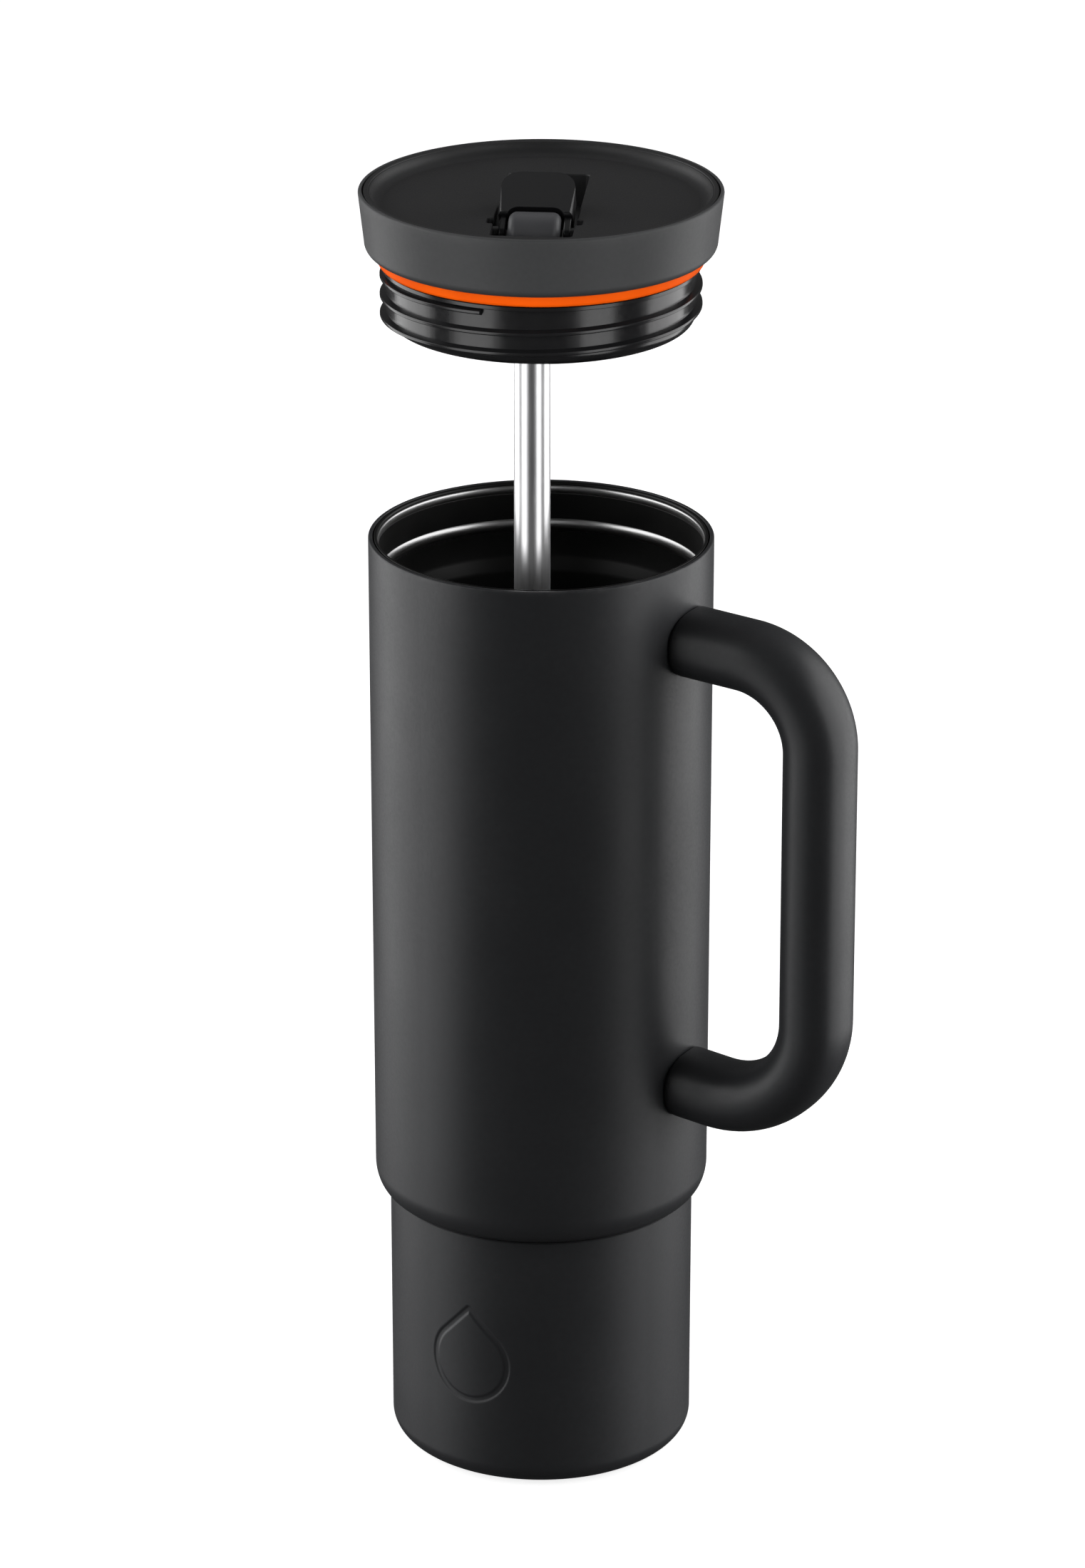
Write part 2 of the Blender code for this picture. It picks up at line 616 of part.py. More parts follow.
def build_plug(lid):
    top = 5.0 * MM
    inner = PLUG_RADIUS - PLUG_WALL
    floor = PLUG_BOTTOM + 1.7 * MM
    collar_low = -0.9 * MM
    outline = [(0, PLUG_BOTTOM)]
    outline += arc(PLUG_RADIUS - PLUG_EDGE, PLUG_BOTTOM + PLUG_EDGE, PLUG_EDGE, -90, 0, 4)
    outline += [(PLUG_RADIUS, collar_low - GAP), (COLLAR_RADIUS, collar_low)]
    outline += [(COLLAR_RADIUS, -GAP), (PLUG_RADIUS, -GAP)]
    outline += [(PLUG_RADIUS, top), (inner, top), (inner, floor), (0, floor)]
    plug = add_object("thread_plug", turned(outline), BLACK_PLASTIC, lid)
    combine(plug, thread_ridge(), "UNION", "thread")
    low = PLUG_BOTTOM - MM
    high = floor + MM
    combine(plug, rod(SOCKET_RADIUS + GAP, low, high, 32, (0, STRAW_Y)), "DIFFERENCE", "socket_hole")
    combine(plug, rod(VENT_RADIUS, low, high, 16, (0, VENT_Y)), "DIFFERENCE", "plug_vent")


def build_insulation(lid):
    radius = PLUG_RADIUS - PLUG_WALL - GAP
    low = PLUG_BOTTOM + 1.7 * MM + GAP
    high = TUB_BOTTOM - 0.5 * MM
    disc = add_object("lid_insulation", rod(radius, low, high, STEPS), FOAM, lid)
    hole = rod(SOCKET_RADIUS + GAP, low - MM, high + MM, 32, (0, STRAW_Y))
    combine(disc, hole, "DIFFERENCE", "insulation_socket_hole")
    vent = rod(VENT_RADIUS, low - MM, high + MM, 16, (0, VENT_Y))
    combine(disc, vent, "DIFFERENCE", "insulation_vent")


def build_straw_socket(lid):
    bore = STRAW_RADIUS + GAP
    seat = STRAW_TOP + GAP
    counterbore = 5.2 * MM
    counter_top = PLUG_BOTTOM + 2.6 * MM
    top = TUB_BOTTOM - GAP
    outline = [(counterbore, PLUG_BOTTOM), (SOCKET_RADIUS, PLUG_BOTTOM), (SOCKET_RADIUS, top)]
    outline += [(FLOW_RADIUS, top), (FLOW_RADIUS, seat), (bore, seat)]
    outline += [(bore, counter_top), (counterbore, counter_top)]
    add_object("straw_socket", turned(outline, 24, (0, STRAW_Y)), BLACK_PLASTIC, lid)

    low = PLUG_BOTTOM + 0.2 * MM
    high = counter_top - GAP
    ring = [(bore, low), (counterbore - GAP, low), (counterbore - GAP, high), (bore, high)]
    add_object("straw_grommet", turned(ring, 24, (0, STRAW_Y)), ORANGE_RUBBER, lid)


def build_vent_valve(lid):
    stem = VENT_RADIUS - GAP - 0.05 * MM
    cap = 3.2 * MM
    cap_crown = 2.6 * MM
    cap_low = SLOT_FLOOR + GAP
    stem_low = TUB_BOTTOM - 0.1 * MM
    outline = [(0, stem_low), (stem, stem_low), (stem, cap_low), (cap, cap_low)]
    outline += [(cap_crown, SLOT_FLOOR + 1.0 * MM), (0, SLOT_FLOOR + 1.3 * MM)]
    add_object("vent_valve", turned(outline, 24, (0, VENT_Y)), GREY_RUBBER, lid)


def round_upper_corners(bm, middle, radius, segments):
    """Round the two edges of a block that run through its thickness and lie above its middle."""
    edges = [e for e in bm.edges if abs(e.verts[0].co.y - e.verts[1].co.y) > MM and e.verts[0].co.z > middle]
    bmesh.ops.bevel(bm, geom=edges, offset=radius, segments=segments, profile=0.5, affect="EDGES")


def build_spout(pivot):
    """Thick panel with an arch over the drum, on two legs that turn on trunnions."""
    low = (-SPOUT_HALF_WIDTH, -SPOUT_HALF_THICK, SPOUT_FOOT)
    high = (SPOUT_HALF_WIDTH, SPOUT_HALF_THICK, SPOUT_TOP)
    bm = block(low, high)
    round_upper_corners(bm, (low[2] + high[2]) / 2, SPOUT_CORNER, 5)
    spout = add_object("spout", bm, BLACK_PLASTIC, pivot)
    soften = spout.modifiers.new("soften", "BEVEL")
    soften.width = 0.6 * MM
    soften.segments = 1
    soften.limit_method = "ANGLE"
    soften.angle_limit = math.radians(50)
    leg_side = SPOUT_HALF_WIDTH - 0.1 * MM
    legs = block((-leg_side, -LEG_HALF_THICK, 0), (leg_side, LEG_HALF_THICK, SPOUT_FOOT + MM))
    combine(spout, legs, "UNION", "legs")
    leg_ends = cross_rod(LEG_HALF_THICK - 0.03 * MM, leg_side - 0.03 * MM, 24)
    combine(spout, leg_ends, "UNION", "leg_ends")

    clear = 2 * SPOUT_HALF_THICK
    arch_low = -8 * MM
    arch = block((-ARCH_HALF_WIDTH, -clear, arch_low), (ARCH_HALF_WIDTH, clear, ARCH_TOP))
    round_upper_corners(arch, 0.0, ARCH_CORNER, 4)
    combine(spout, arch, "DIFFERENCE", "arch")

    inner_end = 7.0 * MM
    for side, name in ((-1, "trunnion_left"), (1, "trunnion_right")):
        trunnion = cross_rod(TRUNNION_RADIUS, (TRUNNION_END - inner_end) / 2, 20)
        middle = side * (TRUNNION_END + inner_end) / 2
        bmesh.ops.translate(trunnion, verts=trunnion.verts, vec=(middle, 0, 0))
        combine(spout, trunnion, "UNION", name)

    hole_low = (-3.3 * MM, -1.5 * MM, ARCH_TOP - 2 * MM)
    hole_high = (3.3 * MM, 1.5 * MM, SPOUT_TOP + 2 * MM)
    combine(spout, block(hole_low, hole_high, 1.3 * MM, 3, True), "DIFFERENCE", "mouth_hole")


def build_spout_drum(pivot):
    """Soft drum between the spout's legs, with the passage that feeds the spout when it is upright."""
    bm = cross_rod(DRUM_RADIUS, DRUM_HALF_WIDTH, 28, DRUM_EDGE)
    drum = add_object("spout_drum", bm, GREY_RUBBER, pivot)
    low = (-2.9 * MM, -1.4 * MM, -8 * MM)
    high = (2.9 * MM, 1.4 * MM, 8 * MM)
    combine(drum, block(low, high, 1.2 * MM, 2, True), "DIFFERENCE", "drum_passage")


def build_straw(holder):
    inner = STRAW_RADIUS - STRAW_WALL
    edge = 0.15 * MM
    low = -STRAW_LENGTH
    outline = [(inner, low), (STRAW_RADIUS - edge, low), (STRAW_RADIUS, low + edge)]
    outline += [(STRAW_RADIUS, -edge), (STRAW_RADIUS - edge, 0), (inner, 0)]
    add_object("straw", turned(outline, 24), BRIGHT_STEEL, holder)


def main():
    clear_scene()
    build_upper_shell()
    build_lower_shell()
    build_inner_liner()
    build_base()
    build_handle()

    lid = add_empty("lid_axis", (0, 0, LID_RAISED), (0, 0, LID_TURN))
    build_gasket(lid)
    build_lid_band(lid)
    build_lid_deck(lid)
    build_plug(lid)
    build_insulation(lid)
    build_straw_socket(lid)
    build_vent_valve(lid)
    pivot = add_empty("spout_pivot", (0, PIVOT_Y, PIVOT_Z), (-SPOUT_LEAN, 0, 0), lid)
    build_spout(pivot)
    build_spout_drum(pivot)
    build_straw(add_empty("straw_axis", (0, STRAW_Y, STRAW_TOP), parent=lid))


main()
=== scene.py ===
"""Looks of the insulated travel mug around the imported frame: fine surfaces, finishes, light and camera.

Everything is in metres, in the frame's own coordinates: the mug stands on z = 0 with its axis on +Z.
"""

import json
import math

import bmesh
import bpy
import numpy as np
from mathutils import Matrix, Vector


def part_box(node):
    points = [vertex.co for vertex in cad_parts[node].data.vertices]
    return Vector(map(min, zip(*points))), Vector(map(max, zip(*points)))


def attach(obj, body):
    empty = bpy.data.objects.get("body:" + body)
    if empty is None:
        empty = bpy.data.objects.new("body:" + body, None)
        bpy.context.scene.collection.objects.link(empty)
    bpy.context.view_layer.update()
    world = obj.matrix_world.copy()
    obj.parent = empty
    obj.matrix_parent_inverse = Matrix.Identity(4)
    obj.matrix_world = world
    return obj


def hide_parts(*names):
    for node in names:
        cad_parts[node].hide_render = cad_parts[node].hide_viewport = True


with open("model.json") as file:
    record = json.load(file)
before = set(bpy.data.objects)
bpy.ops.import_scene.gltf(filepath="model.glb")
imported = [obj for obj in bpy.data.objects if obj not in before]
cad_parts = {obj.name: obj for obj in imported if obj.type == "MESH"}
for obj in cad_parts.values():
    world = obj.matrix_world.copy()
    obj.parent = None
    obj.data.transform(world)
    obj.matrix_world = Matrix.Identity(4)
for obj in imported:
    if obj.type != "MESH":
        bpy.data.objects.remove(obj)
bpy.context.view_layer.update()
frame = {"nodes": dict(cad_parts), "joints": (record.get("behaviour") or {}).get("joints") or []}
nodes = frame["nodes"]
joints = {joint["name"]: joint for joint in frame["joints"]}

# ---------------------------------------------------------------- sizes
MM = 0.001
SIDES = 224                               # sides of a turned surface


def reach(node):
    """Largest distance of a CAD node from the mug's axis."""
    return max(math.hypot(v.co.x, v.co.y) for v in nodes[node].data.vertices)


RIM_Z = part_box("upper_shell")[1].z
RIM_R = reach("upper_shell")
SEAM_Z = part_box("upper_shell")[0].z
WALL = 0.8 * MM
LIP_WALL = 1.0 * MM
SHOULDER_R = 38.3 * MM
SHOULDER_TALL = 5.9 * MM
SHOULDER_Z = SEAM_Z + SHOULDER_TALL
CUP_R = reach("lower_shell")
CUP_BASE_R = CUP_R - 0.15 * MM
CUP_WALL = 1.0 * MM
BEND = 5.0 * MM
BEND_LOW = 0.1 * MM
BEND_SPLIT = math.radians(46)
SPLIT_GAP = math.radians(3.5)

DROP_ANGLE = math.radians(-118.5)
DROP_Z = 30.2 * MM
DROP_BODY = 10.0 * MM
DROP_TIP = 4.2 * MM
DROP_LINE = 1.3 * MM

BORE = 36.6 * MM
BEAD_BORE = 35.95 * MM
BEAD_Z = RIM_Z - 10.2 * MM
BEAD_HALF = 1.5 * MM
NECK_Z = RIM_Z - 17.4 * MM
LIP_Z = RIM_Z - 1.75 * MM                 # middle of the rounded steel lip inside the mouth
LIP_HALF = 0.9 * MM
LIP_RISE = 0.28 * MM
LINER_BORE = 35.0 * MM
LINER_CUP_BORE = 31.4 * MM
LINER_WALL = 0.7 * MM
LINER_FLOOR = 8.0 * MM
LINER_CUP_TOP = 62.0 * MM                 # the liner widens from this height to the next one
LINER_WIDE = 73.0 * MM
LINER_STEP = 2.0 * MM

HANDLE_ANGLE = math.radians(-31)
HANDLE_TOP = 202.8 * MM
HANDLE_TOP_OUT = 201.1 * MM
HANDLE_LOW = 96.5 * MM
HANDLE_LOW_OUT = 93.0 * MM
HANDLE_REACH = 71.8 * MM
HANDLE_BEND_TOP = 19.5 * MM
HANDLE_BEND_LOW = 23.0 * MM
HANDLE_HALF_DEPTH = 7.6 * MM
HANDLE_HALF_WIDTH = 8.8 * MM
HANDLE_SQUARENESS = 2.4

LID_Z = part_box("lid_gasket")[0].z         # the lid's own zero
spout_joint = joints["spout_flip"]
LID_TURN = math.atan2(-spout_joint["axis"][1], -spout_joint["axis"][0])
LID = Matrix.Translation((0, 0, LID_Z)) @ Matrix.Rotation(LID_TURN, 4, "Z")
PIVOT = LID.inverted() @ Vector(spout_joint["pos_m"])
BAND_R = reach("lid_band")
BAND_LOW_R = BAND_R - 1.25 * MM
BAND_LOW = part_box("lid_band")[0].z - LID_Z
BAND_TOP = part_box("lid_band")[1].z - LID_Z
BAND_STRAIGHT = BAND_TOP - 1.7 * MM       # upright inside above this height
BAND_WALL = 0.8 * MM
BAND_CORNER = 2.1 * MM
DECK_Z = 13.4 * MM
DECK_R = 34.8 * MM
DECK_THICK = 2.0 * MM
DECK_COVE = 3.0 * MM
GASKET_R = reach("lid_gasket")
PLUG_R = 34.2 * MM
PLUG_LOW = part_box("thread_plug")[0].z - LID_Z
PLUG_WALL = 2.0 * MM
PLUG_EDGE = 2.6 * MM
COLLAR_R = 35.2 * MM
THREAD_R = reach("thread_plug")
THREAD_PITCH = 4.45 * MM
THREAD_TURNS = 2.4
THREAD_TOP = -2.1 * MM
THREAD_TOP_ANGLE = math.radians(253)
SLOT_HALF = 9.0 * MM
SLOT_FRONT = -27.0 * MM
SLOT_BACK = 22.0 * MM
SLOT_FLOOR = 6.2 * MM
TUB_LOW = 4.0 * MM
SPOUT_LEAN = math.radians(60)
SPOUT_HALF_WIDTH = 8.1 * MM
SPOUT_HALF_THICK = 3.0 * MM
SPOUT_TOP = 16.0 * MM
SPOUT_FOOT = 3.5 * MM
SPOUT_CORNER = 4.4 * MM
LEG_HALF = 1.9 * MM
ARCH_HALF = 6.25 * MM
ARCH_TOP = 5.4 * MM
ARCH_CORNER = 2.6 * MM
DRUM_R = 4.9 * MM
DRUM_HALF = 5.7 * MM
DRUM_EDGE = 1.8 * MM
TRUNNION_R = 1.7 * MM
TRUNNION_END = 10.1 * MM
STRAW_Y = -22.5 * MM
STRAW_R = 4.0 * MM
STRAW_BORE = 3.4 * MM
STRAW_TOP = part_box("straw")[1].z - LID_Z
STRAW_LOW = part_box("straw")[0].z - LID_Z
SOCKET_R = 6.0 * MM
FLOW_R = 2.8 * MM                         # way of the drink from the straw up into the slot
VENT_Y = 12.0 * MM
VENT_R = 1.5 * MM
GAP = 0.3 * MM


# ---------------------------------------------------------------- mesh helpers
def arc(centre_r, centre_z, radius, start_deg, end_deg, count=8):
    """Points of a circular arc in the (radius, height) plane."""
    points = []
    for i in range(count + 1):
        angle = math.radians(start_deg + (end_deg - start_deg) * i / count)
        points.append((centre_r + radius * math.cos(angle), centre_z + radius * math.sin(angle)))
    return points


def skin(bm, rings, closed=False):
    """Quads between following rings of points."""
    pairs = list(zip(rings[:-1], rings[1:]))
    if closed:
        pairs.append((rings[-1], rings[0]))
    for ring, following in pairs:
        count = len(ring)
        for i in range(count):
            j = (i + 1) % count
            bm.faces.new((ring[i], ring[j], following[j], following[i]))


def turned(outline, steps=SIDES, centre=(0.0, 0.0)):
    """Solid of revolution about a vertical axis. The outline closes on itself or ends on the axis."""
    bm = bmesh.new()
    on_axis = outline[0][0] == 0
    body = outline[1:-1] if on_axis else outline
    rings = []
    for r, z in body:
        ring = []
        for i in range(steps):
            angle = math.tau * i / steps
            ring.append(bm.verts.new((centre[0] + r * math.cos(angle), centre[1] + r * math.sin(angle), z)))
        rings.append(ring)
    skin(bm, rings, closed=not on_axis)
    if on_axis:
        for (_, z), ring in ((outline[0], rings[0]), (outline[-1], rings[-1])):
            tip = bm.verts.new((centre[0], centre[1], z))
            for i in range(steps):
                bm.faces.new((ring[i], ring[(i + 1) % steps], tip))
    return bm


def rod(radius, low, high, steps=48, centre=(0.0, 0.0)):
    """Upright rod."""
    return turned([(0, low), (radius, low), (radius, high), (0, high)], steps, centre)


def cross_rod(radius, half_length, steps=64, edge=0.0):
    """Rod along X through the origin, with its end edges rounded off."""
    outline = [(0, -half_length)]
    if edge:
        outline += arc(radius - edge, -half_length + edge, edge, -90, 0, 6)
        outline += arc(radius - edge, half_length - edge, edge, 0, 90, 6)
    else:
        outline += [(radius, -half_length), (radius, half_length)]
    outline.append((0, half_length))
    bm = turned(outline, steps)
    bmesh.ops.rotate(bm, verts=bm.verts, matrix=Matrix.Rotation(math.pi / 2, 3, "Y"))
    return bm


def rounded_rectangle(half_x, low_y, high_y, radius, count=6):
    """Corners of a rectangle in plan, rounded, counter-clockwise."""
    points = []
    corners = ((half_x, high_y, 0), (-half_x, high_y, 90), (-half_x, low_y, 180), (half_x, low_y, 270))
    for x, y, start in corners:
        cx = x - math.copysign(radius, x)
        cy = y - radius if y == high_y else y + radius
        for i in range(count + 1):
            angle = math.radians(start + 90 * i / count)
            points.append((cx + radius * math.cos(angle), cy + radius * math.sin(angle)))
    return points


def prism(sections):
    """Closed solid through level rings, each a list of points in plan with its height."""
    bm = bmesh.new()
    rings = [[bm.verts.new((x, y, z)) for x, y in plan] for plan, z in sections]
    skin(bm, rings)
    bm.faces.new(rings[0])
    bm.faces.new(rings[-1])
    return bm


def flared_cutter(half_x, low_y, high_y, radius, bottom, surface, lip):
    """Cutter for a slot whose upper edge is rounded over by lip where it meets a surface."""
    sections = [(rounded_rectangle(half_x, low_y, high_y, radius), bottom)]
    for i in range(7):
        angle = math.pi / 2 * i / 6
        out = lip * (1 - math.cos(angle))
        z = surface - lip + lip * math.sin(angle)
        sections.append((rounded_rectangle(half_x + out, low_y - out, high_y + out, radius + out), z))
    top = rounded_rectangle(half_x + lip * 1.02, low_y - lip * 1.02, high_y + lip * 1.02, radius + lip * 1.02)
    sections.append((top, surface + 6 * MM))
    return prism(sections)


def loose_object(name, bm):
    """Object in the scene made from bm, which is used up."""
    bmesh.ops.recalc_face_normals(bm, faces=bm.faces)
    mesh = bpy.data.meshes.new(name)
    bm.to_mesh(mesh)
    bm.free()
    obj = bpy.data.objects.new(name, mesh)
    bpy.context.scene.collection.objects.link(obj)
    return obj


def combine(obj, bm, operation):
    """Join a shape to obj, or cut it away, and keep only the result."""
    tool = loose_object("tool", bm)
    modifier = obj.modifiers.new("combine", "BOOLEAN")
    modifier.operation = operation
    modifier.solver = "EXACT"
    modifier.object = tool
    bpy.context.view_layer.update()
    evaluated = obj.evaluated_get(bpy.context.evaluated_depsgraph_get())
    result = bpy.data.meshes.new_from_object(evaluated)
    obj.modifiers.clear()
    old = obj.data
    obj.data = result
    bpy.data.meshes.remove(old)
    bpy.data.objects.remove(tool)


def place(obj, material, body, stands_for=(), matrix=None, sharp=40, even=False):
    """Shade a finished shape, give it its material, and let it ride on a body in place of CAD nodes."""
    if matrix is not None:
        obj.data.transform(matrix)
    obj.data.shade_smooth()
    obj.data.set_sharp_from_angle(angle=math.radians(sharp))
    if even:
        weighted = obj.modifiers.new("even", "WEIGHTED_NORMAL")
        weighted.keep_sharp = True
    obj.data.materials.clear()
    obj.data.materials.append(material)
    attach(obj, body)
    if stands_for:
        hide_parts(*stands_for)


# ---------------------------------------------------------------- finishes
class Finish:
    """A material under construction: a Principled shader and what feeds it."""

    def __init__(self, name, roughness, metallic=0.0, **constants):
        self.material = bpy.data.materials.new(name)
        self.material.use_nodes = True
        self.tree = self.material.node_tree
        self.shader = self.tree.nodes["Principled BSDF"]
        self.shader.inputs["Roughness"].default_value = roughness
        self.shader.inputs["Metallic"].default_value = metallic
        for socket, value in constants.items():
            self.shader.inputs[socket.replace("_", " ")].default_value = value
        self.place = self.tree.nodes.new("ShaderNodeTexCoord").outputs["Object"]

    def node(self, kind, **settings):
        made = self.tree.nodes.new(kind)
        for key, value in settings.items():
            setattr(made, key, value)
        return made

    def link(self, source, target):
        self.tree.links.new(source, target)

    def noise(self, scale, detail=3.0, stretch=(1.0, 1.0, 1.0), rough=0.5):
        """Noise whose features are about 1 / scale metres across."""
        mapping = self.node("ShaderNodeMapping")
        mapping.inputs["Scale"].default_value = stretch
        self.link(self.place, mapping.inputs["Vector"])
        noise = self.node("ShaderNodeTexNoise")
        noise.inputs["Scale"].default_value = scale
        noise.inputs["Detail"].default_value = detail
        noise.inputs["Roughness"].default_value = rough
        self.link(mapping.outputs["Vector"], noise.inputs["Vector"])
        return noise.outputs["Fac"]

    def spread(self, value, low, high, start=0.3, end=0.7):
        """The value, mapped from start..end to low..high."""
        mapped = self.node("ShaderNodeMapRange")
        for socket, number in (("From Min", start), ("From Max", end), ("To Min", low), ("To Max", high)):
            mapped.inputs[socket].default_value = number
        self.link(value, mapped.inputs["Value"])
        return mapped.outputs["Result"]

    def maths(self, operation, first, second):
        made = self.node("ShaderNodeMath", operation=operation)
        for socket, value in zip(made.inputs, (first, second)):
            if isinstance(value, (int, float)):
                socket.default_value = value
            else:
                self.link(value, socket)
        return made.outputs["Value"]

    def height(self, low, high):
        """0 below low and 1 above high, in the piece's own height."""
        split = self.node("ShaderNodeSeparateXYZ")
        self.link(self.place, split.inputs["Vector"])
        return self.spread(split.outputs["Z"], 0.0, 1.0, low, high)

    def colour(self, first, second, amount):
        mix = self.node("ShaderNodeMix", data_type="RGBA")
        mix.inputs["A"].default_value = (*first, 1.0)
        mix.inputs["B"].default_value = (*second, 1.0)
        self.link(amount, mix.inputs["Factor"])
        return mix.outputs["Result"]

    def mix(self, first, second, amount):
        """Number between first and second."""
        mix = self.node("ShaderNodeMix", data_type="FLOAT")
        self.link(first, mix.inputs["A"])
        self.link(second, mix.inputs["B"])
        self.link(amount, mix.inputs["Factor"])
        return mix.outputs["Result"]

    def set_colour(self, output):
        self.link(output, self.shader.inputs["Base Color"])

    def set_roughness(self, output):
        self.link(output, self.shader.inputs["Roughness"])

    def bump(self, heights):
        """Bumps from (output, depth in metres) pairs, one on top of another."""
        normal = None
        for output, depth in heights:
            bump = self.node("ShaderNodeBump")
            bump.inputs["Strength"].default_value = 1.0
            bump.inputs["Distance"].default_value = depth
            self.link(output, bump.inputs["Height"])
            if normal is not None:
                self.link(normal, bump.inputs["Normal"])
            normal = bump.outputs["Normal"]
        self.link(normal, self.shader.inputs["Normal"])


def coated(name, dark, light, roughness, spread, grain, depth, shine=0.5, painted_highlight=None):
    """Powder coat or moulded plastic: fine grain, slow patches, and a painted highlight, broken up by noise,
    from one height to another.
    """
    finish = Finish(name, roughness, 0.0, Specular_IOR_Level=shine)
    fine = finish.noise(grain, 4.0, rough=0.6)
    patches = finish.noise(38.0, 4.0)
    speckle = finish.noise(grain * 0.45, 2.0)
    tone = finish.maths("MULTIPLY", finish.spread(patches, 0.35, 1.0), finish.spread(speckle, 0.55, 1.0))
    colour = finish.colour(dark, light, tone)
    # painted highlight: a lighter colour from one height to the next, broken up by noise
    if painted_highlight:
        low, high, highlight_colour = painted_highlight
        edge = finish.height(low, high)
        highlight_share = finish.maths("MULTIPLY", edge, finish.spread(finish.noise(260.0, 5.0), 0.0, 0.5, 0.45, 0.75))
        mix = finish.node("ShaderNodeMix", data_type="RGBA")
        finish.link(colour, mix.inputs["A"])
        mix.inputs["B"].default_value = (*highlight_colour, 1.0)
        finish.link(highlight_share, mix.inputs["Factor"])
        colour = mix.outputs["Result"]
    finish.set_colour(colour)
    uneven = finish.spread(fine, roughness - spread, roughness + spread)
    handled = finish.spread(patches, -spread * 0.6, spread * 0.6)
    finish.set_roughness(finish.maths("ADD", uneven, handled))
    finish.bump(((patches, 0.02 * MM), (fine, depth)))
    return finish.material


def steel(name, dark, light, roughness, spread, stretch, scale, depth):
    """Brushed or polished steel, with brush lines along the direction that isn't stretched."""
    finish = Finish(name, roughness, 1.0)
    lines = finish.noise(scale, 5.0, stretch, 0.65)
    patches = finish.noise(30.0, 3.0)
    finish.set_colour(finish.colour(dark, light, finish.spread(lines, 0.0, 1.0)))
    brushed = finish.spread(lines, roughness - spread, roughness + spread)
    finish.set_roughness(finish.maths("ADD", brushed, finish.spread(patches, 0.0, spread)))
    finish.bump(((lines, depth),))
    return finish.material


def shade_painted_steel(name):
    """Liner steel with a near-black colour painted over it as shade inside the mug, leaving plain steel on
    the lip and on the bead in the neck.
    """
    finish = Finish(name, 0.4, 0.0, Specular_IOR_Level=0.22)
    lines = finish.noise(2600.0, 5.0, (0.05, 0.05, 1.0), 0.65)
    patches = finish.noise(60.0, 3.0)
    edge = 0.1 * MM
    bands = []
    for middle, half in ((LIP_Z, LIP_HALF), (BEAD_Z, BEAD_HALF - 0.15 * MM)):
        above_low = finish.height(middle - half - edge, middle - half)
        above_high = finish.height(middle + half, middle + half + edge)
        bands.append(finish.maths("SUBTRACT", above_low, above_high))
    plain_steel = finish.maths("ADD", *bands)
    steel_tone = finish.spread(lines, 0.42, 0.56)
    # near-black colour here is painted shade inside the mug
    painted_shade_tone = finish.spread(patches, 0.005, 0.008)
    finish.set_colour(finish.mix(painted_shade_tone, steel_tone, plain_steel))
    painted_shade_rough = finish.spread(patches, 0.38, 0.46)
    steel_rough = finish.spread(lines, 0.28, 0.36)
    finish.set_roughness(finish.mix(painted_shade_rough, steel_rough, plain_steel))
    finish.link(plain_steel, finish.shader.inputs["Metallic"])
    finish.bump(((lines, 0.001 * MM),))
    return finish.material


def rubber(name, dark, light, roughness, grain, depth, **constants):
    """Soft silicone or rubber with a fine matte skin."""
    finish = Finish(name, roughness, 0.0, **constants)
    fine = finish.noise(grain, 3.0)
    patches = finish.noise(90.0, 3.0)
    finish.set_colour(finish.colour(dark, light, finish.spread(patches, 0.0, 1.0)))
    finish.set_roughness(finish.spread(fine, roughness - 0.06, roughness + 0.06))
    finish.bump(((fine, depth),))
    return finish.material


MOUTH_PAINTED_HIGHLIGHT = (RIM_Z - 1.2 * MM, RIM_Z, (0.10, 0.10, 0.10))    # from, to, colour of the painted highlight on the rim top

# the mug's powder coat, with a painted highlight on the rim top
paint = coated(
    "powder_coat", (0.034, 0.035, 0.038), (0.044, 0.045, 0.048), 0.42, 0.05, 1500.0, 0.006 * MM, 0.36,
    MOUTH_PAINTED_HIGHLIGHT,
)
cup_paint = coated(
    "cup_powder_coat", (0.034, 0.035, 0.038), (0.044, 0.045, 0.048), 0.43, 0.05, 1500.0, 0.006 * MM, 0.36
)
band_finish = coated(
    "band_soft_touch", (0.058, 0.059, 0.061), (0.072, 0.073, 0.075), 0.55, 0.04, 1900.0, 0.006 * MM, 0.40
)
deck_finish = coated(
    "deck_moulded", (0.016, 0.016, 0.017), (0.022, 0.022, 0.023), 0.50, 0.05, 2400.0, 0.008 * MM, 0.36
)
plug_finish = coated(
    "plug_moulded", (0.012, 0.012, 0.013), (0.018, 0.018, 0.019), 0.22, 0.03, 700.0, 0.003 * MM
)
spout_finish = coated(
    "spout_moulded", (0.008, 0.008, 0.009), (0.012, 0.012, 0.013), 0.36, 0.05, 2200.0, 0.005 * MM, 0.34
)
orange_rubber = rubber(
    "orange_silicone", (0.86, 0.095, 0.002), (0.94, 0.115, 0.003), 0.50, 1800.0, 0.004 * MM,
    Specular_IOR_Level=0.04,
)
drum_rubber = rubber(
    "drum_silicone", (0.062, 0.063, 0.068), (0.076, 0.077, 0.083), 0.50, 1800.0, 0.003 * MM
)
valve_rubber = rubber(
    "valve_silicone", (0.030, 0.030, 0.032), (0.040, 0.040, 0.042), 0.55, 1800.0, 0.004 * MM
)
pad_rubber = rubber("pad_rubber", (0.014, 0.014, 0.015), (0.024, 0.024, 0.025), 0.75, 900.0, 0.02 * MM)
foam = rubber("foam", (0.55, 0.54, 0.50), (0.72, 0.71, 0.68), 0.90, 700.0, 0.12 * MM)
